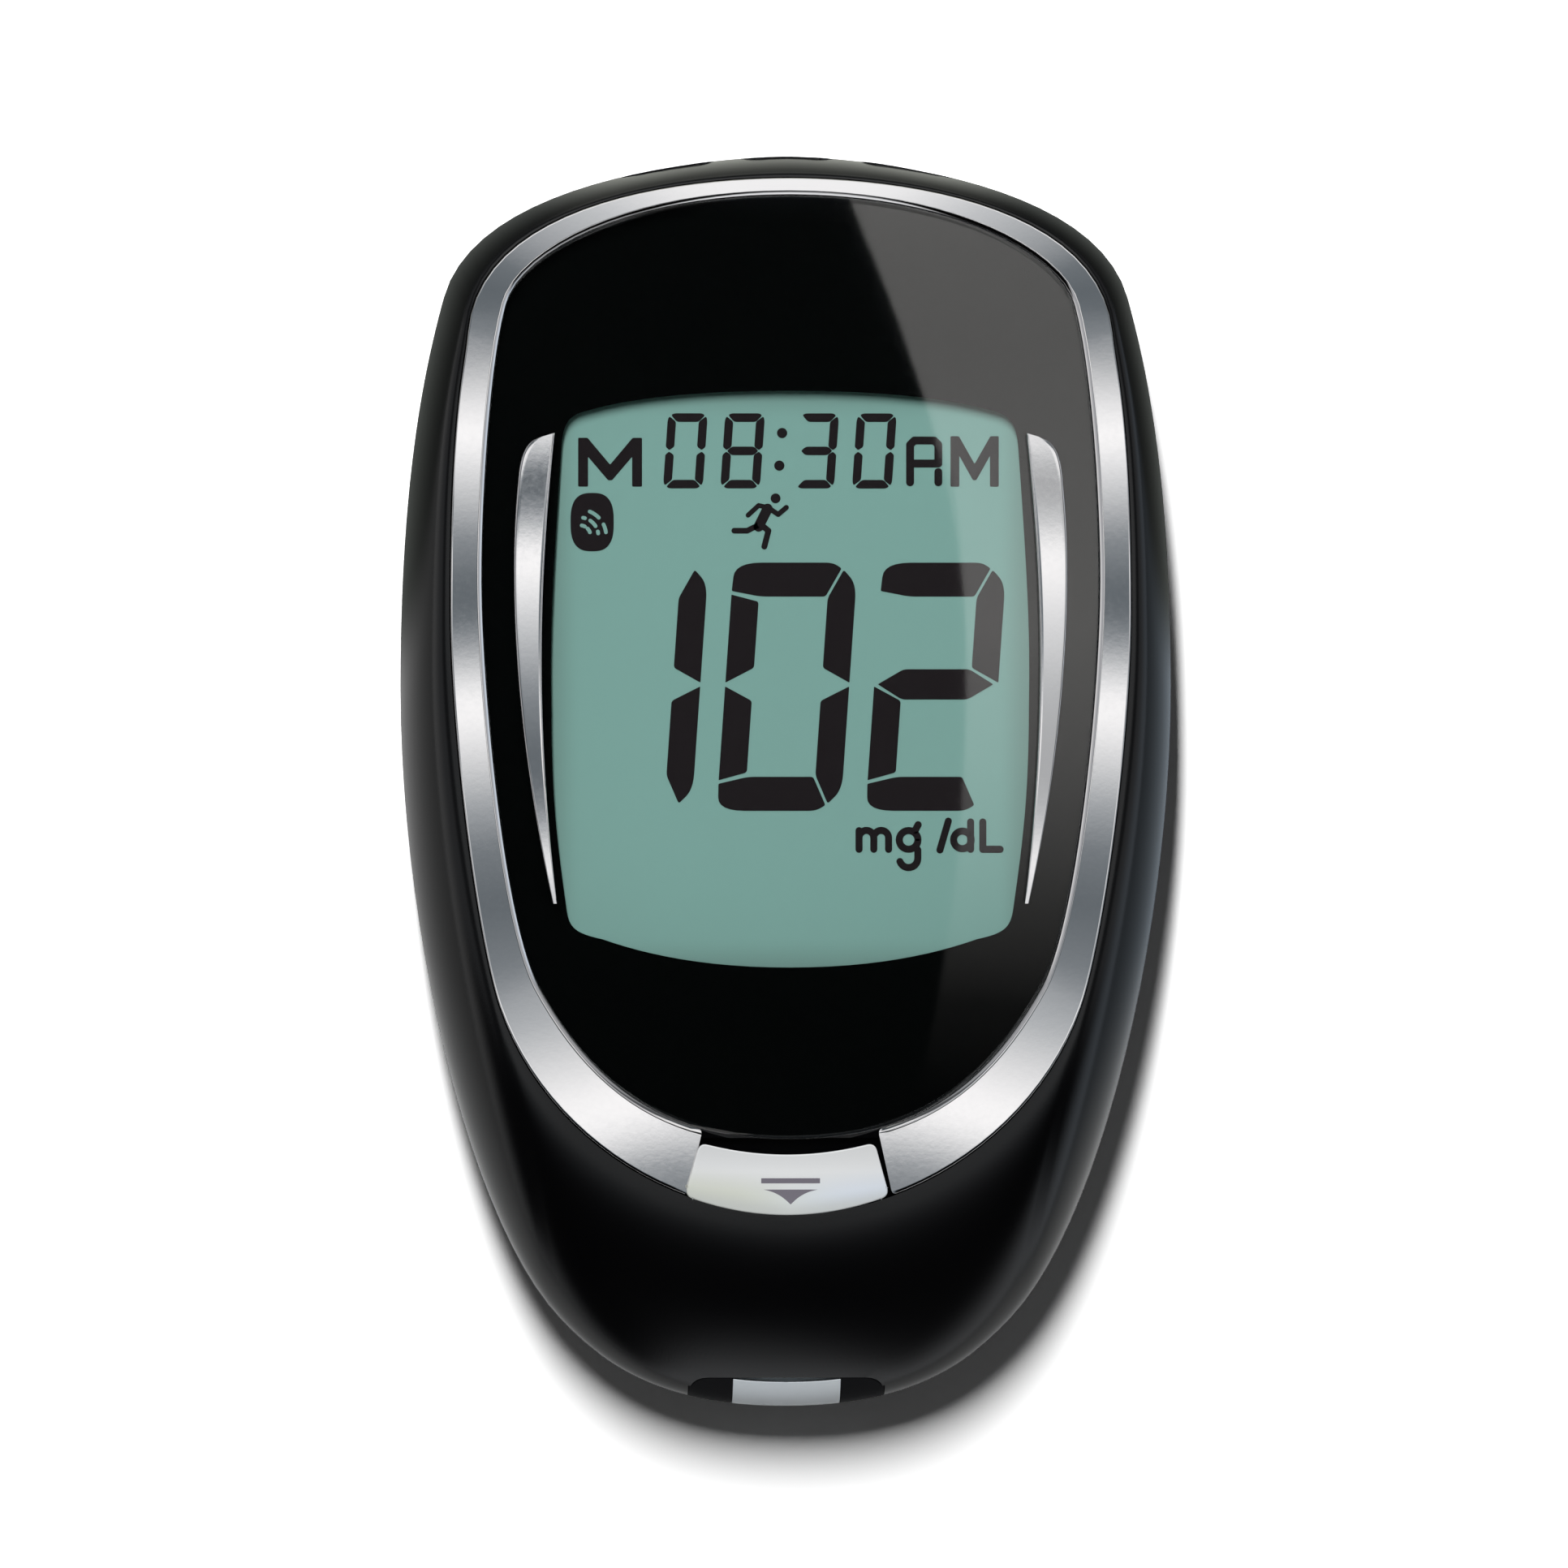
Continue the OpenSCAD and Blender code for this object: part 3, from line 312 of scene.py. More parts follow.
def eggOutline(halfWidth, top, wide, bottom, shape, count):
    shoulder = Vector((shape[0] * halfWidth, wide + shape[1] * (top - wide)))
    low = Vector((shape[3] * halfWidth, wide - shape[4] * (wide - bottom)))
    pull = [share * halfWidth for share in shape[6]]
    fall = math.radians(shape[2])
    drift = math.radians(shape[5])
    fromShoulder = Vector((math.cos(fall), -math.sin(fall)))
    fromLow = Vector((-math.cos(drift), -math.sin(drift)))
    flank = (halfWidth, wide)
    right = curve([(0, top), (pull[0], top), shoulder - pull[1] * fromShoulder, shoulder], count)
    right += curve([shoulder, shoulder + pull[2] * fromShoulder, (halfWidth, wide + pull[3]), flank], count)
    right += curve([flank, (halfWidth, wide - pull[4]), low - pull[5] * fromLow, low], count)
    right += curve([low, low + pull[6] * fromLow, (pull[7], bottom), (0, bottom)], count)
    return mirrored(right, bottom)


def inset(outline, distance):
    # a clockwise outline moved inwards, square to itself
    moved = []
    for index, point in enumerate(outline):
        along = outline[(index + 1) % len(outline)] - outline[index - 1]
        moved.append(point + distance * Vector((along.y, -along.x)) / along.length)
    return moved


bodyLine = eggOutline(case["halfWidth"], case["halfLength"], case["wideY"], -case["halfLength"],
                      case["shape"], case["stretchPoints"])
ringHalf = case["halfWidth"] - bezel["borderSide"]
ringTop = case["halfLength"] - bezel["borderTop"]
ringBottom = -case["halfLength"] + bezel["borderBottom"]
ringLine = eggOutline(ringHalf, ringTop, bezel["wideY"], ringBottom, bezel["shape"], case["stretchPoints"])
lensHalf = ringHalf - bezel["side"]
lensTop = ringTop - bezel["top"]
lensBottom = ringBottom + bezel["bottom"]
lensLine = eggOutline(lensHalf, lensTop, lens["wideY"], lensBottom, lens["shape"], case["stretchPoints"])


def linked(name, data):
    made = bpy.data.objects.new(name, data)
    bpy.context.scene.collection.objects.link(made)
    return made


def boxOf(node):
    # two corners of a node's box, in millimetres
    return [Vector(corner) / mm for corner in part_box(node)]


def turned(angle):
    return Vector((math.cos(angle), math.sin(angle)))


def newObject(name, points, faces, finish=None):
    # points in millimetres
    mesh = bpy.data.meshes.new(name)
    mesh.from_pydata([Vector(point) * mm for point in points], [], faces)
    mesh.validate()
    made = linked(name, mesh)
    if finish:
        mesh.materials.append(finishes[finish])
    return made


def ringFaces(count, rings, closed=False):
    faces = []
    for ring in range(rings if closed else rings - 1):
        for step in range(count):
            a = ring * count + step
            b = ring * count + (step + 1) % count
            above = (ring + 1) % rings * count - ring * count
            faces.append((a, b, b + above, a + above))
    return faces


def loft(name, rings, finish=None):
    # joins clockwise rings, bottom to top, and closes both ends
    count = len(rings[0])
    faces = [face[::-1] for face in ringFaces(count, len(rings))]
    faces.append(tuple(range(count)))
    faces.append(tuple(range(len(rings) * count - 1, (len(rings) - 1) * count - 1, -1)))
    return newObject(name, [point for ring in rings for point in ring], faces, finish)


def atHeight(outline, height):
    # height is a number, or a function of y
    return [(p.x, p.y, height(p.y) if callable(height) else height) for p in outline]


def prism(name, outline, low, high):
    return loft(name, [atHeight(outline, low), atHeight(outline, high)])


def block(low, high):
    corners = [Vector((low[0], high[1])), Vector((high[0], high[1])), Vector((high[0], low[1])),
               Vector((low[0], low[1]))]
    return prism("block", corners, low[2], high[2])


def roundBar(start, end, radius, sides=64):
    # a cylinder between two points
    start, end = Vector(start), Vector(end)
    axis = (end - start).normalized()
    across = axis.orthogonal().normalized()
    other = axis.cross(across)
    rings = []
    for centre in (start, end):
        turns = [-math.tau * step / sides for step in range(sides)]
        rings.append([centre + radius * (math.cos(a) * across + math.sin(a) * other) for a in turns])
    return loft("round bar", rings)


def ball(centre, radius):
    rows = 24
    rings = []
    for row in range(1, rows):
        tilt = math.pi * row / rows - math.pi / 2
        turns = [-math.tau * step / 48 for step in range(48)]
        rings.append([Vector(centre) + radius * Vector((math.cos(tilt) * math.cos(a),
                      math.cos(tilt) * math.sin(a), math.sin(tilt))) for a in turns])
    return loft("ball", rings)


def carve(target, tools, operation="DIFFERENCE"):
    # cuts the tools out of the target, or keeps what they share, and applies it
    for tool in tools if isinstance(tools, list) else [tools]:
        modifier = target.modifiers.new("carve", "BOOLEAN")
        modifier.operation = operation
        modifier.solver = "EXACT"
        modifier.object = tool
        graph = bpy.context.evaluated_depsgraph_get()
        result = bpy.data.meshes.new_from_object(target.evaluated_get(graph))
        target.modifiers.clear()
        target.data = result
        bpy.data.objects.remove(tool)
    return target


def refinish(target, *names):
    target.data.materials.clear()
    for name in names:
        target.data.materials.append(finishes[name])


def smooth(target, angle=32.0):
    mesh = target.data
    mesh.polygons.foreach_set("use_smooth", [True] * len(mesh.polygons))
    mesh.set_sharp_from_angle(angle=math.radians(angle))
    return target


def bevel(target, width, segments=3, angle=35.0):
    modifier = target.modifiers.new("edge", "BEVEL")
    modifier.width = width * mm
    modifier.segments = segments
    modifier.limit_method = "ANGLE"
    modifier.angle_limit = math.radians(angle)
    modifier.harden_normals = False
    return target


def place(piece, body, slot, *nodes):
    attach(piece, body)
    if nodes:
        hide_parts(*nodes)
    return piece


def bend(start, corner, end, t):
    return start * (1 - t) ** 2 + corner * (2 * t * (1 - t)) + end * t * t


def rounded(corners, radius, steps=6):
    # rounds every corner of an outline with a quadratic bend
    found = []
    for index, corner in enumerate(corners):
        before = corners[index - 1]
        after = corners[(index + 1) % len(corners)]
        reach = radius[index] if isinstance(radius, (list, tuple)) else radius
        start = corner + (before - corner).normalized() * min(reach, (before - corner).length / 2)
        end = corner + (after - corner).normalized() * min(reach, (after - corner).length / 2)
        found += [bend(start, corner, end, step / steps) for step in range(steps + 1)]
    return found


def clockwise(outline):
    turn = sum(a.x * b.y - a.y * b.x for a, b in zip(outline, outline[1:] + outline[:1]))
    return outline if turn < 0 else outline[::-1]


def nearestOn(outline, point):
    # the place on an outline that is closest to a point
    best = outline[0]
    for a, b in zip(outline, outline[1:] + outline[:1]):
        along = b - a
        share = max(0.0, min(1.0, (point - a).dot(along) / along.length_squared))
        spot = a + along * share
        if (point - spot).length < (point - best).length:
            best = spot
    return best


def cornerWaste(corner, first, second, radius):
    # what is taken off to round an upright corner; first and second lead along its two sides
    first, second = first.normalized(), second.normalized()
    start, end = corner + first * radius, corner + second * radius
    arch = [bend(start, corner, end, t) for t in spread(0.0, 1.0, 7)]
    outline = [start - second * 0.3] + arch + [end - first * 0.3, corner - (first + second) * 0.3]
    return prism("corner waste", clockwise(outline), 8.0, 20.0)


def spread(start, end, count):
    return [start + (end - start) * step / (count - 1) for step in range(count)]


# ---- outer form ---------------------------------------------------------

def frontRing(angle, depth=0.0, drop=0.0):
    # 0 degrees is the silhouette, 90 the bezel's outer edge
    rise = math.sin(math.radians(angle))
    reach = math.cos(math.radians(angle))
    edge = inset(bodyLine, depth)
    rim = inset(ringLine, depth)
    points = [r + (e - r) * reach for e, r in zip(edge, rim)]
    seam = case["seam"]
    return [(p.x, p.y, seam + (crown(p.y) - drop - seam) * rise) for p in points]


def rearRing(angle):
    # 0 degrees is the flat back's edge, 90 the silhouette
    shrinkX = 1 - case["backInset"] / case["halfWidth"]
    shrinkY = 1 - case["backInset"] / case["halfLength"]
    foot = [Vector((p.x * shrinkX, p.y * shrinkY)) for p in bodyLine]
    reach = math.sin(math.radians(angle))
    height = case["seam"] * (1 - math.cos(math.radians(angle)))
    return [(p.x, p.y, height) for p in (f + (e - f) * reach for e, f in zip(bodyLine, foot))]


def seamLip(side):
    # the groove at the seam: side is 1 on the front shell and -1 on the rear one
    return [atHeight(inset(bodyLine, case["seamGroove"]), case["seam"]),
            atHeight(inset(bodyLine, 0.05), case["seam"] + side * 0.17)]


def frontSolid():
    rings = seamLip(1) + [frontRing(angle) for angle in spread(3.0, 90.0, case["rings"])]
    top = [atHeight([p * share for p in ringLine], lambda y: crown(y) + 0.3) for share in (0.6, 0.2)]
    return loft("front shell", rings + top)


def rearSolid():
    rings = [rearRing(angle) for angle in spread(0.0, 87.0, case["rings"])]
    return loft("rear shell", rings + seamLip(-1)[::-1])


def outerForm():
    # the closed body without its seam, for pieces that carry on its surface
    lower = [rearRing(angle) for angle in spread(0.0, 90.0, case["rings"])]
    upper = [frontRing(angle) for angle in spread(4.0, 90.0, case["rings"])]
    return loft("outer form", lower + upper)


def underCrown(outline, drop, low):
    # a prism on the outline whose top lies below the crown by drop
    shares = (1.0, 0.8, 0.6, 0.4, 0.2)
    rings = [atHeight(outline, low)]
    rings += [atHeight([p * s + centre * (1 - s) for p in outline], lambda y: crown(y) - drop)
              for s in shares for centre in [Vector((0, case["crownY"]))]]
    return loft("under crown", rings)


# ---- shells -------------------------------------------------------------

button = {
    "topWidth": 12.3,
    "lowWidth": 14.4,
    "gap": 1.2,
    "sideGap": 0.4,
    "thickness": 1.2,
    "lift": 0.1,
    "scoop": 0.35,
    "scoopRadius": 11.0,
    "topSag": 0.85,
    "lowSag": 1.35,
    "travel": 2.0,
    "stemWidth": 3.0,
    "stemDepth": 1.5,
    "cornerRadius": 0.6,
    "shift": -0.22,
    "raise": 0.15,
}
buttonLow = ringBottom
buttonTop = lensBottom - button["gap"]
stemTop = buttonTop - 0.25
stemLow = stemTop - button["stemDepth"]
pocketLow = stemLow - button["travel"] - 0.15
pocketFloor = crown(buttonTop) - 2.0
ceiling = case["thickness"] - 4.6
slant = ((button["lowWidth"] - button["topWidth"]) / 2
         / (buttonTop - buttonLow - button["topSag"] + button["lowSag"]))


bayMiddle = (buttonTop + buttonLow) / 2
bayHalf = (button["topWidth"] + button["lowWidth"]) / 4 + button["sideGap"]


def bayCorner(outline, side):
    # where an outline meets the gap's side, and the direction along it away from the gap
    def past(p):
        return side * p.x - bayHalf + slant * (p.y - bayMiddle)

    for a, b in zip(outline, outline[1:] + outline[:1]):
        if a.y < 0 < side * a.x and past(a) * past(b) <= 0:
            away = b - a if past(b) > past(a) else a - b
            return a + (b - a) * (past(a) / (past(a) - past(b))), away


def buttonBay(low, high, clip=None):
    # the slanted gap that bezel and shell leave for the button
    middle, half = bayMiddle, bayHalf
    above = lensBottom + (0.1 if clip else 3.0)
    below = pocketLow if clip else ringBottom - 3.0
    upper = half - slant * (above - middle)
    lower = half - slant * (below - middle)
    corners = [Vector((-upper, above)), Vector((upper, above)), Vector((lower, below)),
               Vector((-lower, below))]
    return prism("button bay", corners, low, high)


keys = {
    "length": 6.2,
    "height": 2.4,
    "pitch": 8.4,
    "z": case["seam"] + 1.8,
}


def stadium(centre, length, height, sides=20):
    # clockwise round-ended slot in x and z, seen from +Y
    radius = height / 2
    found = []
    for end, start in ((1, 90.0), (-1, 270.0)):
        for step in range(sides + 1):
            angle = math.radians(start - 180.0 * step / sides)
            found.append(Vector((centre[0] + end * (length / 2 - radius) + radius * math.cos(angle),
                                 centre[1] + radius * math.sin(angle))))
    return found


def slotTool(centre, length, height, low, high):
    outline = stadium(centre, length, height)
    rings = [[(p.x, y, p.y) for p in outline] for y in (high, low)]
    return loft("slot tool", rings)


port = {"halfWidth": 3.8, "cheekHalf": 6.9, "depth": 2.0, "floor": case["seam"] - 2.7,
        "top": case["seam"] + 1.4, "innerY": -case["halfLength"] + 3.5, "snug": 0.05,
        "cheekRadius": 1.4, "sag": 0.3}
portEdge = -case["halfLength"] + port["depth"]


def portNotches(grow):
    half = port["cheekHalf"] + grow
    low = port["floor"] - grow
    outside = -case["halfLength"] - 2
    upper = portEdge + grow
    corners = [Vector(p) for p in ((-half, outside), (-half, upper), (half, upper), (half, outside))]
    outline = rounded(corners, [0.01, port["cheekRadius"], port["cheekRadius"], 0.01])
    return [prism("notch", outline, low, case["thickness"]),
            block((-half, outside, low), (half, port["innerY"] + grow, port["top"] + grow))]


def makeFrontShell():
    shell = frontSolid()
    hollowRings = [atHeight(inset(bodyLine, case["wall"]), case["seam"] - 1)]
    hollowRings += [frontRing(angle, case["wall"], case["wall"]) for angle in (0, 12, 24, 36, 48, 60, 75, 90)]
    hollow = loft("hollow", hollowRings)
    carve(hollow, block((-40, -60, 0), (40, 60, ceiling)), "INTERSECT")
    seat = underCrown(ringLine, -4.0, pocketFloor - 1)
    seat = carve(seat, underCrown(inset(ringLine, -3.0), seatDepth, 0.0))
    low, high = boxOf("lcd_frame")
    opening = block((low.x - 0.15, low.y - 0.15, ceiling - 1), (high.x + 0.15, high.y + 0.15, 20))
    bay = carve(buttonBay(pocketFloor, 19, True), prism("clip", inset(ringLine, 0.2), 0, 20), "INTERSECT")
    stemHalf = button["stemWidth"] / 2 + 0.15
    stemSlot = block((-stemHalf, pocketLow, ceiling - 2), (stemHalf, stemTop + 0.15, 17))
    carve(shell, [hollow, seat, opening, bay, stemSlot])
    for k in (-1, 0, 1):
        carve(shell, slotTool((k * keys["pitch"], keys["z"]), keys["length"] + 0.3, keys["height"] + 0.3,
                              case["halfLength"] - 8, case["halfLength"] + 4))
    carve(shell, portNotches(port["snug"]))
    refinish(shell, "shell", "bay")
    for polygon in shell.data.polygons:
        spot = polygon.center / mm
        inBay = abs(spot.x) < 8.5 and pocketLow - 0.3 < spot.y < lensBottom + 0.4
        if inBay and pocketFloor - 1.5 < spot.z < crown(spot.y) - 0.25:
            polygon.material_index = 1
    shell.name = "front_shell"
    return place(smooth(shell), "case", "black_shell", "front_housing")


door = {"floor": 0.15, "thickness": 1.2, "pinLength": 0.7, "clearance": 0.15}


def makeRearShell():
    shell = rearSolid()
    low, high = boxOf("battery_door")
    half = high.x - door["pinLength"]
    hingeY = high.y - door["thickness"] / 2
    hingeZ = door["floor"] + door["thickness"] / 2
    gap = door["clearance"]
    left, leftTop = boxOf("coin_cell_left")
    cellY = (left.y + leftTop.y) / 2
    cellX = (left.x + leftTop.x) / 2
    radius = (leftTop.x - left.x) / 2 + gap
    cuts = [block((-half - gap, low.y - gap, -1), (half + gap, hingeY, left.z - 0.05)),
            roundBar((-half - gap, hingeY, hingeZ), (half + gap, hingeY, hingeZ), 0.75),
            block((-half - gap, hingeY - 1, -1), (half + gap, hingeY + 0.6, hingeZ - 0.35)),
            roundBar((cellX, cellY, 0.5), (cellX, cellY, leftTop.z + 0.4), radius, 96),
            roundBar((-cellX, cellY, 0.5), (-cellX, cellY, leftTop.z + 0.4), radius, 96),
            block((-4, cellY - 5, 0.5), (4, cellY + 5, leftTop.z + 0.4)),
            ball((0, low.y - 0.2, -2.0), 3.2)]
    carve(shell, cuts)
    for sideways in (-1, 1):
        contactX = sideways * abs(cellX)
        carve(shell, block((contactX - 2.2, cellY - 10.6, left.z), (contactX + 2.2, cellY - 9, 12)))
        for x, y in ((14.8, case["halfLength"] - 9.4), (15.6, -case["halfLength"] + 22.1)):
            carve(shell, [roundBar((sideways * x, y, -1), (sideways * x, y, 2.4), 2.0),
                          roundBar((sideways * x, y, -1), (sideways * x, y, 20), 1.1)])
    carve(shell, portNotches(port["snug"]))
    refinish(shell, "shell")
    shell.name = "rear_shell"
    return place(smooth(shell), "case", "black_shell", "rear_housing")


makeFrontShell()
makeRearShell()
print("shells made")


# ---- bezel, lens and trims ---------------------------------------------

def bezelSection(width):
    # distance from the outer edge and height above the crown: a rounded outer edge, a broad
    # face that falls a little outwards, and a chamfer to the lens
    rise = bezel["rise"]
    edge, chamfer = bezel["edge"], bezel["chamfer"]
    fall = bezel["fall"] + bezel["extraFall"] * (width - bezel["side"])
    points = [(0.0, -seatDepth + 0.03), (0.0, -0.15)]
    for step in range(1, 9):
        turn = math.radians(90 * step / 8)
        points.append((edge * (1 - math.cos(turn)), -0.15 + (rise - fall + 0.15) * math.sin(turn)))
    for share in (0.04, 0.2, 0.4, 0.6, 0.8, 0.96, 1.0):
        points.append((edge + (width - edge - chamfer) * share, rise - fall * (1 - share)))
    points += [(width - chamfer * 0.92, rise - 0.01), (width - 0.03, rise - 0.13),
               (width, rise - 0.17), (width, -seatDepth + 0.03)]
    return points


def makeBezel():
    outer = inset(ringLine, 0.05)
    inner = lensLine
    columns = []
    for o in outer:
        i = nearestOn(inner, o)
        width = (i - o).length
        spots = [(o + (i - o) * (reach / width), height) for reach, height in bezelSection(width)]
        columns.append([(p.x, p.y, crown(p.y) + height) for p, height in spots])
    points = [column[row] for row in range(len(columns[0])) for column in columns]
    faces = [face[::-1] for face in ringFaces(len(outer), len(columns[0]), True)]
    ring = newObject("bezel", points, faces, "chrome")
    carve(ring, buttonBay(pocketFloor - 1, 20))
    for side in (-1, 1):
        for outline, toLens in ((outer, 1), (inner, -1)):
            corner, away = bayCorner(outline, side)
            carve(ring, cornerWaste(corner, Vector((-side * slant, 1)) * toLens, away, bezel["endRadius"]))
    return place(smooth(ring, 40), "case", "silver_bezel", "bezel_ring")


def slab(name, outline, topDrop, bottomDrop, edge, finish, rings=14):
    # a sheet that follows the crown, with its top edge rounded over
    centre = Vector((0, case["crownY"]))
    layers = [atHeight(outline, lambda y: crown(y) - bottomDrop)]
    for step in range(5):
        turn = math.radians(90 * step / 4)
        depth = edge * (1 - math.sin(turn))
        shrunk = inset(outline, edge * (1 - math.cos(turn)))
        layers.append(atHeight(shrunk, lambda y, depth=depth: crown(y) - topDrop - depth))
    base = inset(outline, edge + 0.04)
    layers.append(atHeight(base, lambda y: crown(y) - topDrop))
    for ring in range(1, rings):
        share = 1 - ring / rings
        layers.append(atHeight([centre + (p - centre) * share for p in base], lambda y: crown(y) - topDrop))
    under = [atHeight([centre + (p - centre) * share for p in outline], lambda y: crown(y) - bottomDrop)
             for share in (1 / rings, 0.3, 0.5, 0.7, 0.9)]
    return loft(name, under + layers, finish)


def makeLens():
    sheet = slab("lens", inset(lensLine, 0.02), 0.0, lens["thickness"] - 0.02, lens["edge"], "lens")
    return place(smooth(sheet, 50), "case", "clear_lens", "display_lens")


windowTop = lensTop - 13.8
windowLow = lensBottom + 12.1
windowHalf = 16.8
trim = {"x": lensHalf - 2.3, "top": windowTop - 3.1, "foot": windowLow + 4.5, "rise": 0.46, "slope": 0.14}


def trimSides():
    # the flank towards the bezel and the one towards the window, from the foot up
    x, top, foot = trim["x"], trim["top"], trim["foot"]
    outer = curve([(x - 2.75, foot), (x + 0.2, foot + 13), (x + 0.3, top - 9), (x - 0.3, top - 3.4)], 36)
    outer += curve([(x - 0.3, top - 3.4), (x - 0.42, top - 1.8), (x - 0.65, top - 0.5),
                    (x - 1.85, top - 0.2)], 14)
    inner = curve([(x - 3, foot), (x - 1.3, foot + 14), (x - 1.9, top - 9), (x - 2.85, top + 0.1)], 50)
    return outer + [Vector((x - 1.85, top - 0.2))], inner + [Vector((x - 2.85, top + 0.1))]


def makeTrims():
    # each face falls away from the window at one slope, with a small rounded edge
    outer, inner = trimSides()
    base = trim["x"] - 2.9
    shares = [0.0, 0.0, 0.02, 0.06] + spread(0.15, 0.85, 8) + [0.94, 0.98, 1.0, 1.0]
    drops = [0.85, 0.06, 0.015, 0.0] + [0.0] * 8 + [0.0, 0.015, 0.06, 0.85]
    for side, node in ((1, "side_trim_right"), (-1, "side_trim_left")):
        rows = []
        for o, i in zip(outer, inner):
            row = []
            for share, drop in zip(shares, drops):
                p = i + (o - i) * share
                row.append((side * p.x, p.y, crown(p.y) + trim["rise"] - trim["slope"] * (p.x - base) - drop))
            rows.append(row)
        count, wide = len(rows), len(shares)
        points = [point for row in rows for point in row]
        faces = ringFaces(wide, count)
        faces += [tuple(range(wide))[::-1], tuple(range((count - 1) * wide, count * wide))]
        if side < 0:
            faces = [face[::-1] for face in faces]
        crescent = newObject("trim_right" if side > 0 else "trim_left", points, faces, "chrome")
        place(smooth(crescent, 50), "case", "silver_trim", node)


makeBezel()
makeLens()
makeTrims()
print("bezel, lens and trims made")


# ---- release button -----------------------------------------------------

def buttonPlace(u, v):
    # u runs from -1 to 1 across the cap, v from 0 at its lower edge to 1 at its upper edge
    upper = buttonTop + button["raise"] + button["topSag"] * u * u
    lower = buttonLow + button["lowSag"] * u * u
    half = button["lowWidth"] / 2 + (button["topWidth"] - button["lowWidth"]) / 2 * v
    return Vector((u * half + button["shift"], lower + (upper - lower) * v))


def capHeight(p):
    # the crown, with a scoop for the fingertip pressed into it
    scoopY = (buttonTop + buttonLow) / 2 - 0.4
    top = crown(p.y) + button["lift"] + button["thickness"]
    radius = button["scoopRadius"]
    centre = crown(scoopY) + button["lift"] + button["thickness"] - button["scoop"] + radius
    reach = min(abs(p.y - scoopY), radius * 0.99)
    scooped = centre - math.sqrt(radius * radius - reach * reach)
    return min(top, scooped)


def makeButton():
    across, along = 40, 16
    points, faces = [], []
    for layer in (0, 1):
        for row in range(along + 1):
            for column in range(across + 1):
                u = 2 * column / across - 1
                p = buttonPlace(u, row / along)
                z = capHeight(p) if layer else crown(p.y) + button["lift"]
                points.append((p.x, p.y, z))
    wide = across + 1
    size = wide * (along + 1)
    for row in range(along):
        for column in range(across):
            a = row * wide + column
            faces.append((a + size, a + size + 1, a + size + 1 + wide, a + size + wide))
            faces.append((a, a + wide, a + wide + 1, a + 1))
    rim = list(range(wide))
    rim += [row * wide + across for row in range(1, along + 1)]
    rim += [along * wide + column for column in range(across - 1, -1, -1)]
    rim += [row * wide for row in range(along - 1, 0, -1)]
    for index, a in enumerate(rim):
        b = rim[(index + 1) % len(rim)]
        faces.append((a, b, b + size, a + size))
    cap = newObject("release_cap", points, faces, "pearl")
    for side in (-1, 1):
        for end in (0, 1):
            corner = buttonPlace(side, end)
            upright = (buttonPlace(side, 1) - buttonPlace(side, 0)) * (1 - 2 * end)
            inwards = buttonPlace(side * 0.9, end) - corner
            carve(cap, cornerWaste(corner, upright, inwards, button["cornerRadius"]))
    bevel(cap, 0.16, 4, 50)
    return place(smooth(cap, 60), "release", "pearl_button", "release_button")


def makeEjectSign():
    # a bar over a triangle with hollow sides, printed on the cap
    centre = Vector((0.02, -27.9))
    bar = [Vector((-2.07, 0.0)), Vector((2.07, 0.0)), Vector((2.07, -0.36)), Vector((-2.07, -0.36))]
    half = curve([(1.9, -0.8), (0.95, -0.98), (0.5, -1.35), (0.0, -1.85)], 10)
    arrow = [Vector((-1.9, -0.8))] + half + [Vector((0, -1.85))] + [Vector((-p.x, p.y)) for p in half[:0:-1]]
    for name, outline in (("eject_bar", bar), ("eject_arrow", arrow)):
        shape = [p + centre for p in outline]
        rings = [[(p.x, p.y, capHeight(p) + h) for p in shape] for h in (-0.02, 0.012)]
        place(loft(name, rings, "print"), "release", "mask_ink")


makeButton()
makeEjectSign()
print("release button made")


# ---- display ------------------------------------------------------------

def framePoint(x, y):
    # millimetres of a point of the photograph's frame, for what lies on the display
    return Vector(((x - 972.5) * pixel / mm, (962.5 - y) * pixel / mm))


display = {
    "slant": 0.069,
    "bigHalfWidth": 4.37,
    "bigHalfHeight": 8.73,
    "bigPitch": 10.49,
    "bigCentre": framePoint(970.0, 846.5),
    "clockHalfWidth": 1.4,
    "clockHalfHeight": 2.64,
    "clockStroke": 0.6,
    "clockPlaces": [framePoint(x, 557) for x in (845, 915.3, 1006.3, 1077.2)],
    "lit": {"0": "abcdef", "1": "bc", "2": "abdeg", "3": "abcdg", "8": "abcdefg"},
}
# where the small signs stand, in pixels of the photograph's frame
signs = {
    "colon": [(963.8, 535.1), (960.4, 575.1)],
    "memory": (752.5, 571.0),
    "halfDay": [(1138.5, 569.8), (1200.5, 569.8)],
    "badge": (730.5, 644.5),
    "waves": (728.5, 645.0),
    "unit": (1053.5, 1050.5),
    "runnerHead": (955.8, 615.3),
    # each limb is a broken line and its width in millimetres
    "runnerLimbs": [([(946, 628), (935, 650)], 0.72), ([(948, 627), (935, 624), (922, 636)], 0.34),
                    ([(947, 627), (959, 635), (969, 626.5)], 0.36),
                    ([(937, 647), (947, 655), (942, 674.5)], 0.42),
                    ([(935, 648), (921, 655), (905, 655)], 0.4)],
}


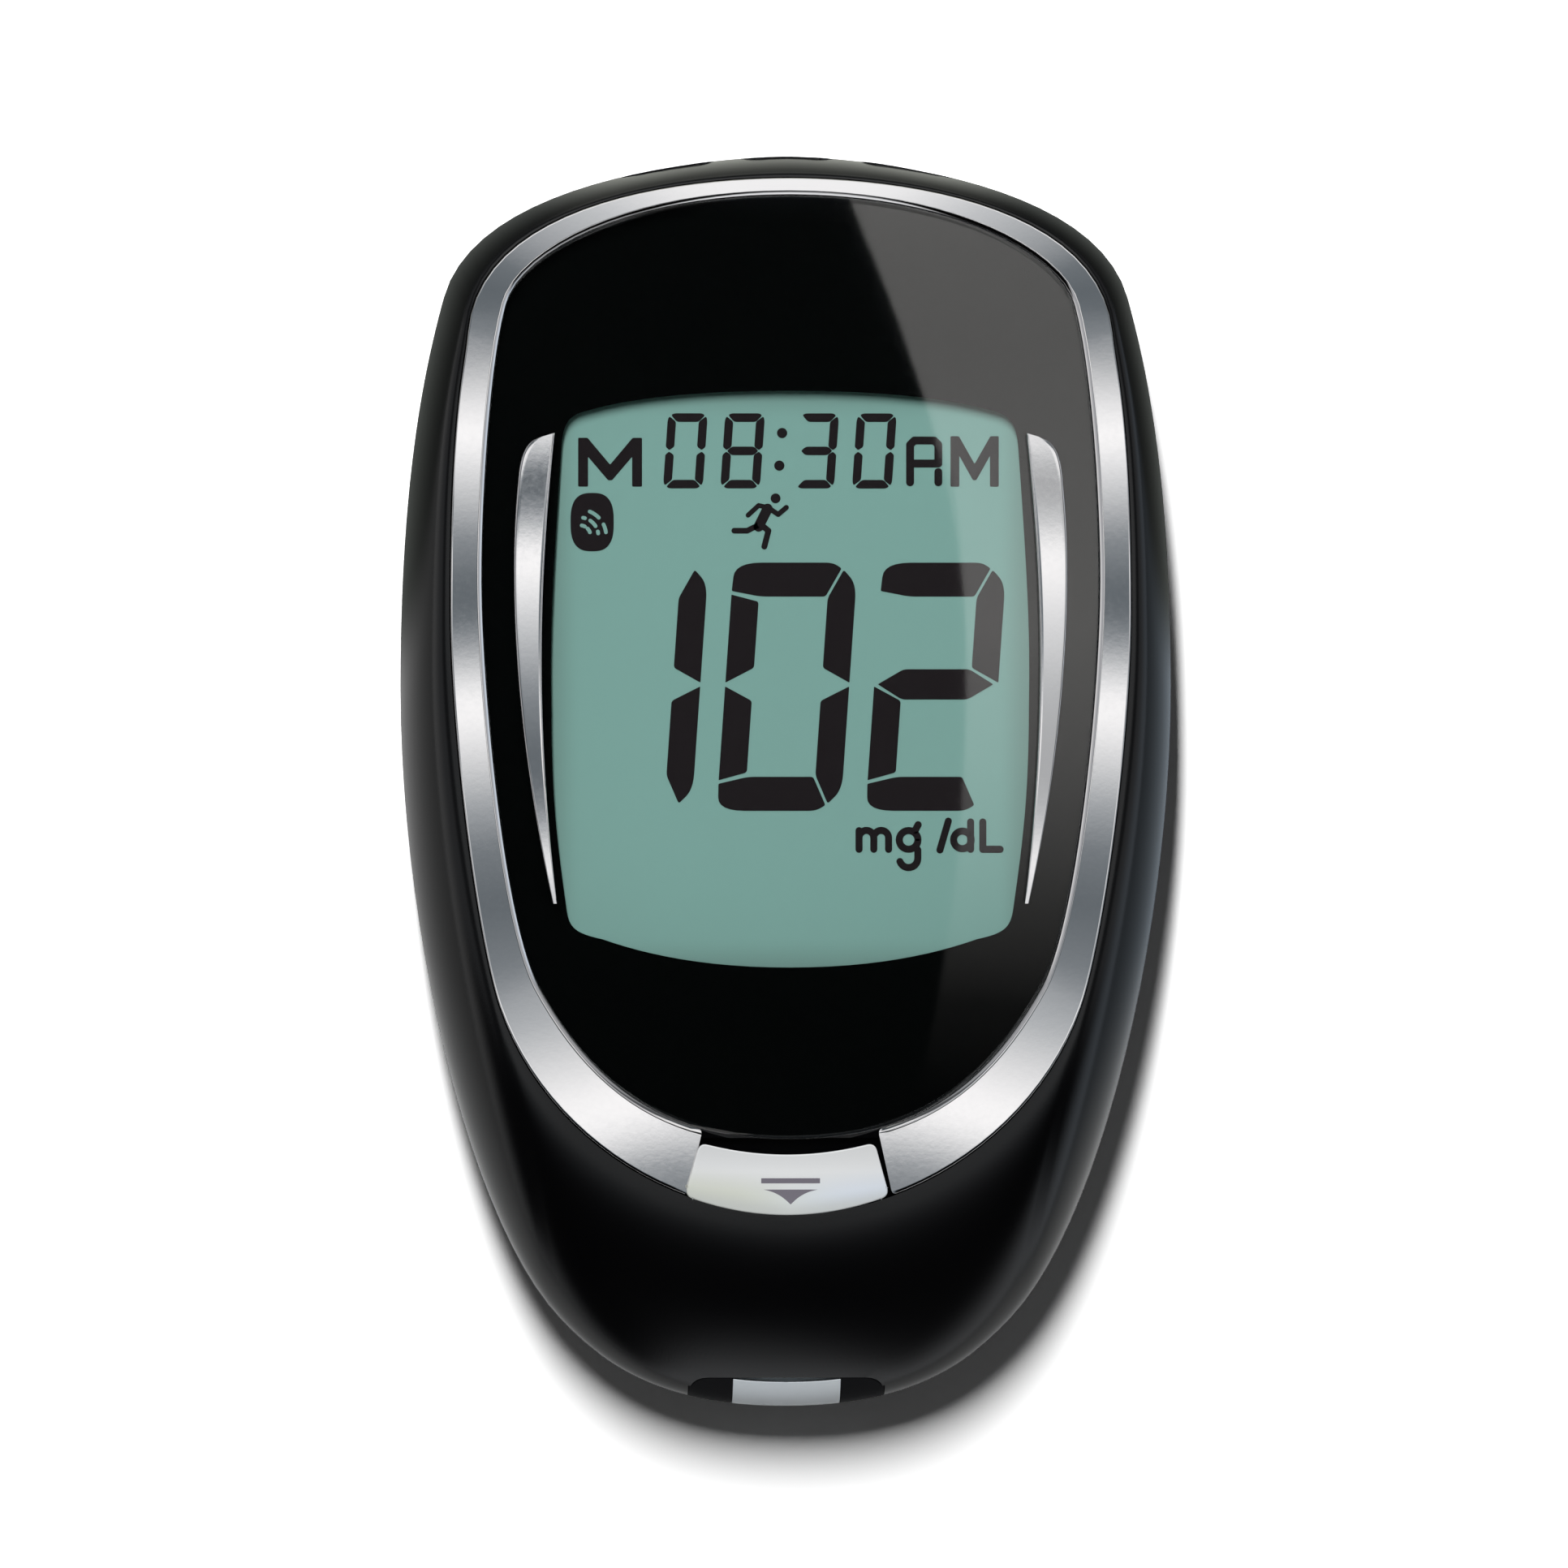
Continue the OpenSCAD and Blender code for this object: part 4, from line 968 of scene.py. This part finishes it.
def bigSegments():
    # one digit's seven segments about its centre, upright; each corner is (x, y, bend)
    w, h = display["bigHalfWidth"], display["bigHalfHeight"]
    return {
        "a": [(-w, h - 2.0, 0.1), (-w + 0.1, h, 1.9), (w - 1.75, h, 0.5), (w - 1.1, h - 0.4, 0.15),
              (w - 2.1, h - 2.39, 0.2), (-w + 2.05, h - 2.39, 0.5)],
        "b": [(w - 0.95, h - 0.5, 0.2), (w, h - 1.5, 1.1), (w, 0.28, 0.08), (w - 1.95, 1.33, 0.2),
              (w - 1.95, h - 2.5, 0.3)],
        "c": [(w, 0.02, 0.08), (w, -h + 1.5, 1.1), (w - 0.95, -h + 0.5, 0.2), (w - 1.95, -h + 2.5, 0.3),
              (w - 1.95, -1.0, 0.2)],
        "d": [(-w, -h + 1.9, 0.1), (-w + 2.05, -h + 2.39, 0.5), (w - 2.1, -h + 2.39, 0.2),
              (w - 1.1, -h + 0.4, 0.15), (w - 1.75, -h, 0.5), (-w + 0.1, -h, 1.9)],
        "e": [(-w, 0.02, 0.08), (-w + 1.95, -1.0, 0.2), (-w + 1.95, -h + 2.7, 0.2), (-w, -h + 2.15, 0.05)],
        "f": [(-w, h - 2.25, 0.05), (-w + 1.95, h - 2.75, 0.2), (-w + 1.95, 1.33, 0.2), (-w, 0.28, 0.08)],
        "g": [(-w + 0.25, 0.17, 0.08), (-w + 2.0, 1.23, 0.3), (w - 2.1, 1.23, 0.3), (w - 0.35, 0.17, 0.08),
              (w - 2.1, -0.9, 0.3), (-w + 2.0, -0.9, 0.3)],
    }


def clockSegments():
    # the lower half mirrors the upper one
    w, h, t = display["clockHalfWidth"], display["clockHalfHeight"], display["clockStroke"]
    upper = {
        "a": [(-w + 0.2, h - 0.1, 0.2), (-w + 0.5, h, 0.1), (w - 0.4, h, 0.15), (w - 0.2, h - 0.15, 0.1),
              (w - 0.6, h - t, 0.2), (-w + 0.65, h - t, 0.2)],
        "b": [(w - 0.1, h - 0.2, 0.15), (w, h - 0.5, 0.2), (w, 0.28, 0.1), (w - 0.25, 0.05, 0.1),
              (w - t, 0.28, 0.15), (w - t, h - 0.6, 0.15)],
        "f": [(-w, h - 0.5, 0.2), (-w + 0.1, h - 0.2, 0.15), (-w + t, h - 0.6, 0.15),
              (-w + t, 0.28, 0.15), (-w + 0.25, 0.05, 0.1), (-w, 0.28, 0.1)],
    }
    lower = {low: [(x, -y, radius) for x, y, radius in reversed(upper[high])]
             for low, high in ("da", "cb", "ef")}
    bar = [(-w + 0.3, 0.0, 0.1), (-w + 0.6, t / 2, 0.2), (w - 0.6, t / 2, 0.2), (w - 0.3, 0.0, 0.1),
           (w - 0.6, -t / 2, 0.2), (-w + 0.6, -t / 2, 0.2)]
    return {**upper, **lower, "g": bar}


def leaning(outline, centre):
    return [centre + Vector((p.x + p.y * display["slant"], p.y)) for p in outline]


def bent(corners):
    return rounded([Vector(corner[:2]) for corner in corners], [corner[2] for corner in corners])


def stroke(points, width):
    # a round-ended bar along each leg of a broken line
    pieces = []
    for start, end in zip(points, points[1:]):
        start, end = Vector(start), Vector(end)
        heading = math.atan2(end.y - start.y, end.x - start.x)
        ring = []
        for centre, turn in ((end, math.pi / 2), (start, -math.pi / 2)):
            ring += [centre + width / 2 * turned(heading + turn - math.pi * step / 12) for step in range(13)]
        pieces.append(ring)
    return pieces


def disc(centre, radius, sides=32):
    return [centre + radius * turned(-math.tau * side / sides) for side in range(sides)]


def letterM(centre, width, height, weight):
    w, h, t = width / 2, height / 2, weight
    outline = [(-w, -h), (-w, h), (-w + t * 0.95, h), (0, -h * 0.1), (w - t * 0.95, h), (w, h), (w, -h),
               (w - t, -h), (w - t, h * 0.22), (t * 0.2, -h * 0.74), (-t * 0.2, -h * 0.74),
               (-w + t, h * 0.22), (-w + t, -h)]
    return [rounded([Vector(p) + centre for p in outline], 0.08, 3)]


def letterA(centre, width, height, weight):
    w, h, t = width / 2 - weight / 2, height / 2 - weight / 2, weight
    legs = [[(-w, -h), (-w, h - 0.3)], [(-w, h - 0.3), (-w + 0.3, h)], [(-w + 0.3, h), (w - 0.3, h)],
            [(w - 0.3, h), (w, h - 0.3)], [(w, h - 0.3), (w, -0.1)], [(-w, -0.15), (w, -0.15)],
            [(w, -0.75), (w, -h)]]
    return [ring for leg in legs for ring in stroke([Vector(p) + centre for p in leg], t)]


def runner():
    # a plain running figure: head, back, arms and legs as round-ended strokes
    shapes = [disc(framePoint(*signs["runnerHead"]), 0.35)]
    for limb, width in signs["runnerLimbs"]:
        shapes += stroke([framePoint(*p) for p in limb], width)
    return shapes


def badge(centre, width, height):
    # a round-sided plate for the wireless sign
    found = []
    for step in range(64):
        angle = -math.tau * step / 64
        c, s = math.cos(angle), math.sin(angle)
        found.append(centre + Vector((width / 2 * math.copysign(abs(c) ** 0.72, c),
                                      height / 2 * math.copysign(abs(s) ** 0.72, s))))
    return [found]


def waves(centre):
    # a dot and three widening arcs, the common sign for a radio link
    start = centre + Vector((-0.75, -0.95))
    shapes = [disc(start, 0.24)]
    for radius in (0.75, 1.3, 1.85):
        path = [start + radius * turned(math.radians(a)) for a in range(8, 83, 6)]
        shapes += stroke(path, 0.26)
    return shapes


def plates(name, outlines, low, high, finish):
    points, faces = [], []
    for index, outline in enumerate(outlines):
        outline = clockwise(outline)
        start = len(points)
        count = len(outline)
        points += atHeight(outline, low) + atHeight(outline, high + index % 7 * 0.003)
        faces += [tuple(i + start for i in face[::-1]) for face in ringFaces(count, 2)]
        faces.append(tuple(range(start, start + count)))
        faces.append(tuple(range(start + 2 * count - 1, start + count - 1, -1)))
    return newObject(name, points, faces, finish)


def makeSymbols():
    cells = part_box("front_polariser")[1][2] / mm
    shapes = []
    for index, digit in enumerate("102"):
        centre = display["bigCentre"] + Vector(((index - 1) * display["bigPitch"], 0))
        big = bigSegments()
        shapes += [leaning(bent(big[segment]), centre) for segment in display["lit"][digit]]
    for centre, digit in zip(display["clockPlaces"], "0830"):
        small = clockSegments()
        shapes += [leaning(bent(small[segment]), centre) for segment in display["lit"][digit]]
    shapes += [disc(framePoint(*spot), 0.36) for spot in signs["colon"]]
    shapes += letterM(framePoint(*signs["memory"]), 4.5, 3.43, 0.7)
    shapes += letterA(framePoint(*signs["halfDay"][0]), 2.55, 3.5, 0.56)
    shapes += letterM(framePoint(*signs["halfDay"][1]), 3.4, 3.55, 0.62)
    shapes += badge(framePoint(*signs["badge"]), 3.04, 4.1)
    shapes += runner()
    shapes += unitLetters()
    symbols = plates("display_symbols", shapes, cells - 0.01, cells + 0.02, "ink")
    place(symbols, "case", "mask_ink")
    arcs = waves(framePoint(*signs["waves"]))
    light = plates("badge_waves", arcs, cells + 0.022, cells + 0.03, "reflector")
    place(light, "case", "reflector")


def arc(centre, radius, start, end, steps=10):
    angles = [math.radians(start + (end - start) * step / steps) for step in range(steps + 1)]
    return [Vector(centre) + radius * turned(a) for a in angles]


def unitLetters():
    # mg /dL in plain round-ended strokes; x from the left end, y from the base line
    foot, tall, thick = 0.25, 2.17, 0.5
    lines = [[(0.28, foot), (0.28, 1.56)], arc((0.8, 1.06), 0.52, 165, 0) + [(1.32, foot)],
             arc((1.84, 1.06), 0.52, 150, 0) + [(2.36, foot)],
             arc((3.77, 0.91), 0.66, 0, 360, 24),
             [(4.42, 0.2), (4.42, -0.39)] + arc((3.77, -0.39), 0.65, 0, -160),
             [(4.24, 1.6), (4.44, 1.98)],
             [(5.98, foot - 0.05), (6.57, tall + 0.06)],
             arc((7.56, 0.91), 0.62, 0, 360, 24), [(8.14, foot), (8.14, tall)],
             [(9.0, tall), (9.0, foot), (10.22, foot)]]
    start = framePoint(*signs["unit"])
    return [ring for line in lines for ring in stroke([start + Vector(p) for p in line], thick)]


def reflectorFinish():
    # grey-green reflector, with painted shade that darkens it towards the window's edges and painted light
    # that makes it a little lighter towards the bottom
    material, paint = newMaterial("display reflector")
    x, y, _ = paint.axes()
    middle = (windowTop + windowLow) / 2 * mm
    reach = (windowTop - windowLow) / 2 * mm
    # painted shade: darker towards the window's edges, where the mask shades the display
    sideways = paint.steps(abs(x), 14.6 * mm, windowHalf * mm)
    endways = paint.steps(abs(y - middle), reach - 2.2 * mm, reach + 0.2 * mm)
    shade = paint.node("ShaderNodeMath", {"operation": "MAXIMUM"}, {0: sideways, 1: endways})
    # painted light: a little lighter towards the bottom, where less lamp light reaches
    paintedLightToBottom = paint.steps(y, windowTop * mm, windowLow * mm)
    tone = paint.blend(paintedLightToBottom, srgb(131, 173, 165), srgb(134, 176, 168))
    tone = paint.blend(shade * 0.45, tone, srgb(104, 128, 121))
    fine = paint.noise(3000.0, 2.0)
    values = {"Base Color": tone, "Roughness": 0.55, "Normal": paint.bump(fine, 0.002 * mm)}
    paint.principled(values)
    return material


finishes["reflector"] = reflectorFinish()
makeSymbols()
print("display made")


# ---- strip port ---------------------------------------------------------

def makePort():
    half = port["halfWidth"]
    outside = -case["halfLength"] - 1
    tongue = outerForm()
    edge, sag = portEdge - 0.05, port["sag"]
    upper = curve([(-half, edge), (-half * 0.4, edge - sag), (half * 0.4, edge - sag), (half, edge)], 16)
    plan = [Vector((-half, outside))] + upper + [Vector((half, edge)), Vector((half, outside))]
    carve(tongue, prism("tongue plan", plan, port["floor"] + 0.6, 17), "INTERSECT")
    high = boxOf("strip_port")[1]
    inner = block((-half, outside + 2.5, port["floor"] + 0.6), (half, high.y, port["top"]))
    carve(tongue, inner, "UNION")
    carve(tongue, block((-3.1, outside, 7.7), (3.1, high.y + 1, 8.5)))
    refinish(tongue, "port")
    tongue.name = "strip_tongue"
    bevel(tongue, 0.12, 2, 50)
    place(smooth(tongue, 35), "case", "port_grey", "strip_port")


def makeSurround():
    half = port["halfWidth"] + port["snug"]
    outside = -case["halfLength"] - 1
    pieces = []
    for notch in portNotches(0.0):
        piece = outerForm()
        carve(piece, notch, "INTERSECT")
        pieces.append(piece)
    cheeks = pieces[0]
    carve(cheeks, pieces[1], "UNION")
    carve(cheeks, block((-half, outside, port["floor"] + 0.55), (half, port["innerY"] + 1, 18)))
    refinish(cheeks, "recess")
    cheeks.name = "port_cheeks"
    place(smooth(cheeks, 35), "case", "black_trim", "port_surround")


makePort()
makeSurround()
print("strip port made")


# ---- finishes of the pieces that stay as they were built ----------------

nodeFinishes = {
    "mask": ["lens_mask"],
    "reflector": ["front_polariser", "lcd_rear_glass", "lcd_reflector"],
    "glass": ["lcd_front_glass"],
    "natural": ["lcd_frame", "ejector_slider"],
    "elastomer": ["zebra_strip"],
    "board": ["main_board"],
    "chip": ["controller_chip", "strip_connector", "key_switches"],
    "steel": ["radio_module", "timing_crystal", "ejector_spring", "coin_cell_left", "coin_cell_right",
              "housing_screws"],
    "brass": ["piezo_sounder"],
    "ceramic": ["board_capacitors"],
    "gold": ["strip_contacts", "positive_contacts", "negative_contacts"],
    "shell": ["up_key", "set_key", "down_key", "battery_door"],
}
edgeWidths = {"battery_door": 0.15, "up_key": 0.15, "set_key": 0.15, "down_key": 0.15,
              "housing_screws": 0.08, "coin_cell_left": 0.2, "coin_cell_right": 0.2}
for finish, nodes in nodeFinishes.items():
    for node in nodes:
        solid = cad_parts[node]
        refinish(solid, finish)
        if node in edgeWidths:
            bevel(solid, edgeWidths[node], 3, 40)
print("finishes set")


# ---- studio -------------------------------------------------------------

studio = {
    "cameraDistance": 1.6,
    "cameraLeft": 2.5,
    "frameCentre": (966.0, 966.0),
    "objectCentre": (968.0, 962.5),
    "floorReach": 3.0,
    "floorGain": 1.7,
    "skyLevel": 0.03,
    "keyPower": 9.9,
    "keySize": (0.08, 0.56),
    "keyPlace": (-0.1, 0.46, 0.85),
    "tableTones": {"left": (0.5, 0.5, 0.5, 1), "right": (0.38, 0.44, 0.5, 1),
                   "lower": (0.85, 0.86, 0.86, 1),
                   "upper": (0.62, 0.64, 0.58, 1), "corner": (0.14, 0.15, 0.14, 1)},
    "horizonTones": {"left": (0.95, 0.95, 0.95, 1), "right": (0.75, 0.86, 0.98, 1),
                     "lower": (0.95, 0.97, 1, 1),
                     "upper": (1.0, 1.02, 0.95, 1), "corner": (0.15, 0.16, 0.16, 1)},
    "cardHeight": 0.26,
    "glareEdge": [(3.0, 43.2), (8.3, 32.4), (12.4, 19.0), (12.4, 8.0), (12.4, 1.0), (11.7, -6.0),
                  (10.7, -12.5),
                  (10.2, -16.0), (9.6, -19.0), (8.8, -22.0)],
    "glareLevels": [(0.0, 0.0), (0.10, 0.06), (0.2, 0.35), (0.36, 1.0), (0.50, 1.4), (0.66, 1.35),
                    (0.8, 1.32),
                    (0.9, 1.42), (1.0, 1.65)],
    # slope of the surface towards the top end, and the grey level that the bezel shows there, as
    # read along the bezel in the photograph
    "bands": [(-0.30, 10), (-0.21, 50), (-0.174, 108), (-0.1625, 148), (-0.151, 237), (-0.1445, 250),
              (-0.138, 246),
              (-0.11, 177), (-0.085, 124), (-0.063, 102), (-0.0465, 120), (-0.0346, 159),
              (-0.011, 243), (-0.005, 252),
              (0.0007, 228), (0.012, 148), (0.0174, 120), (0.023, 103), (0.03, 102), (0.0445, 136),
              (0.0657, 228),
              (0.0733, 253), (0.08, 240), (0.1054, 131), (0.1195, 105), (0.138, 101), (0.163, 112),
              (0.2126, 196),
              (0.239, 240), (0.40, 241), (0.50, 60), (0.8, 40)],
    # the same for faces that lean further sideways, which are the two trims
    "trimBands": [(-0.10, 180), (-0.048, 205), (-0.0424, 240), (-0.0373, 220), (-0.032, 170),
                  (-0.0268, 128),
                  (-0.0188, 102), (-0.0112, 104), (-0.0006, 126), (0.0045, 140), (0.0202, 200),
                  (0.0306, 238),
                  (0.0359, 252), (0.0411, 240), (0.0463, 176), (0.0515, 121), (0.0568, 84),
                  (0.062, 140),
                  (0.0672, 220), (0.08, 235)],
}


def makeCamera():
    data = bpy.data.cameras.new("camera")
    data.lens = data.sensor_width * studio["cameraDistance"] / (1932 * pixel)
    data.clip_end = 20.0
    camera = linked("camera", data)
    across = (studio["frameCentre"][0] - studio["objectCentre"][0]) * pixel
    down = (studio["objectCentre"][1] - studio["frameCentre"][1]) * pixel
    target = Vector((across, down, case["seam"] * mm))
    lean = math.radians(studio["cameraLeft"])
    away = Vector((-math.sin(lean), 0, math.cos(lean)))
    camera.location = target + away * studio["cameraDistance"]
    camera.rotation_euler = (0, -lean, 0)
    bpy.context.scene.camera = camera


def aroundTone(paint, x, y, tones):
    # what stands round the object at the height of the table, by direction
    reach = paint.node("ShaderNodeMath", {"operation": "SQRT"}, {0: x * x + y * y + 0.000001})
    across, along = x / reach, y / reach
    tone = paint.blend(paint.steps(across, 0.2, 0.9), tones["left"], tones["right"])
    tone = paint.blend(paint.steps(along, -0.3, -0.8), tone, tones["lower"])
    tone = paint.blend(paint.steps(along, 0.75, 0.97), tone, tones["upper"])
    return paint.blend(paint.steps(abs(across) * along, 0.2, 0.38), tone, tones["corner"])


def makeFloor():
    material, paint = newMaterial("floor")
    seen = paint.node("ShaderNodeLightPath", out=0)
    glossy = paint.node("ShaderNodeLightPath", out=3)
    gain = studio["floorGain"]
    x, y, _ = paint.axes()
    tone = paint.blend(glossy, (0.8, 0.8, 0.8, 1), aroundTone(paint, x, y, studio["tableTones"]))
    tone = paint.blend(seen, tone, (gain, gain, gain, 1))
    paint.surface(paint.node("ShaderNodeBsdfDiffuse", {}, {"Color": tone}))
    reach = studio["floorReach"] / mm
    corners = [(-reach, -reach, 0), (reach, -reach, 0), (reach, reach, 0), (-reach, reach, 0)]
    floor = newObject("floor", corners, [(0, 1, 2, 3)])
    floor.data.materials.append(material)


def makeWorld():
    # plain light for the surfaces; what mirrors it meets pale and dark cards, laid out by the
    # slope that a face needs to show them from above: lean sideways, rise lengthwise
    world = bpy.data.worlds.new("studio")
    bpy.context.scene.world = world
    world.use_nodes = True
    paint = Paint(world.node_tree)
    x, y, z = paint.axes(0)
    far = paint.node("ShaderNodeMath", {"operation": "MAXIMUM"}, {0: z + 1.0, 1: 0.04})
    lean = x / far - math.radians(studio["cameraLeft"]) / 2
    rise = y / far
    bands = mirrorBands(paint, rise, studio["bands"])
    trimBands = mirrorBands(paint, rise, studio["trimBands"])
    trimBands = paint.blend(paint.steps(lean, 0.0, 0.01) * 0.36, trimBands, (1.1, 1.1, 1.1, 1))
    trims = paint.steps(abs(lean), 0.10, 0.125) * paint.steps(abs(rise), 0.12, 0.08)
    overhead = paint.blend(trims, bands, trimBands)
    # a dark card straight above the lens
    flat = paint.steps(abs(lean), 0.042, 0.024) * paint.steps(abs(rise - 0.006), 0.128, 0.118)
    overhead = paint.blend(flat, overhead, (0.003, 0.004, 0.004, 1))
    # dark cards above the slopes of the shell, paler ones further out for its flanks
    steep = paint.steps(abs(lean), 0.21, 0.27)
    overhead = paint.blend(steep, overhead, (0.09, 0.095, 0.1, 1))
    edge = paint.steps(abs(lean), 0.38, 0.46)
    overhead = paint.blend(edge, overhead, (0.42, 0.43, 0.45, 1))
    below = paint.steps(rise, -0.18, -0.23)
    overhead = paint.blend(below, overhead, (0.002, 0.002, 0.002, 1))
    # near the horizon: pale at the ends and flanks, darker at the upper corners
    horizon = aroundTone(paint, x, y, studio["horizonTones"])
    sunk = paint.node("ShaderNodeMath", {"operation": "MINIMUM"}, {0: y, 1: 0.0})
    middle = paint.steps(abs(x) + y * 0.5, -0.1, -0.35)
    rightward = paint.steps(x, 0.1, 0.4)
    low = paint.steps(z + sunk * (middle * 0.7 + rightward * 0.3 - 0.35), 0.55, 0.05)
    mirror = paint.blend(low, overhead, horizon)
    glossy = paint.node("ShaderNodeLightPath", out=3)
    seen = paint.node("ShaderNodeLightPath", out=0)
    plain = studio["skyLevel"]
    colour = paint.blend(glossy, (plain, plain, plain, 1), mirror)
    colour = paint.blend(seen, colour, (1, 1, 1, 1))
    sky = paint.node("ShaderNodeBackground", {}, {"Color": colour, "Strength": 1.0})
    paint.node("ShaderNodeOutputWorld", {}, {"Surface": sky})


def mirrorBands(paint, rise, levels):
    start, end = levels[0][0], levels[-1][0]
    stops = [((slope - start) / (end - start), mirrorTone(level)) for slope, level in levels]
    return paint.node("ShaderNodeValToRGB", {"stops": stops}, {0: (rise - start) / (end - start)})


def mirrorTone(level):
    # light that a plated face needs to show a grey level; the dark ones are a little blue
    tint = (level / 255.0) ** 2
    red, green, blue, _ = srgb(level - 8 * (1 - tint), level, level + 6 * (1 - tint))
    return (red * 1.27, green * 1.27, blue * 1.27)


def mirrored3d(x, y):
    # where the ray from the camera that meets the lens at (x, y) reaches the card's height
    camera = bpy.context.scene.camera.location
    spot = Vector((x, y, crown(y))) * mm
    normal = Vector((0, (y - case["crownY"]) / case["crownRadius"], 1)).normalized()
    ray = (spot - camera).normalized().reflect(normal)
    return spot + ray * ((studio["cardHeight"] - spot.z) / ray.z)


def makeGlare():
    # a soft window of light whose curved edge shows in the lens
    corners = studio["glareEdge"]
    line = [p for k in range(0, len(corners) - 3, 3) for p in curve(corners[k:k + 4], 12)]
    edge = [mirrored3d(x, y) for x, y in line + [corners[-1]]]
    right = mirrored3d(lensHalf + 1.5, 0).x
    points = [point / mm for point in edge]
    points += [Vector((right / mm, point.y, point.z)) for point in points[::-1]]
    card = newObject("glare_card", points, [tuple(range(len(points)))])
    material, paint = newMaterial("glare card")
    y = paint.axes()[1]
    top, bottom = edge[0].y, edge[-1].y
    stops = [(share, (level, level * 0.985, level * 0.965)) for share, level in studio["glareLevels"]]
    glow = paint.node("ShaderNodeValToRGB", {"stops": stops}, {0: (y - bottom) / (top - bottom)})
    paint.surface(paint.node("ShaderNodeEmission", {}, {"Color": glow, "Strength": 1.0}))
    card.data.materials.append(material)
    card.visible_camera = False
    card.visible_diffuse = False
    card.visible_transmission = False
    card.visible_shadow = False


def makeLamps():
    # one broad lamp above the top end, so that the shadow shows below the strip port
    data = bpy.data.lights.new("key", "AREA")
    data.shape = "RECTANGLE"
    data.size, data.size_y = studio["keySize"]
    data.energy = studio["keyPower"]
    lamp = linked("key", data)
    lamp.location = studio["keyPlace"]
    lamp.visible_glossy = False


bpy.context.scene.view_settings.view_transform = "Standard"
makeCamera()
makeFloor()
makeWorld()
makeLamps()
makeGlare()
print("studio ready")
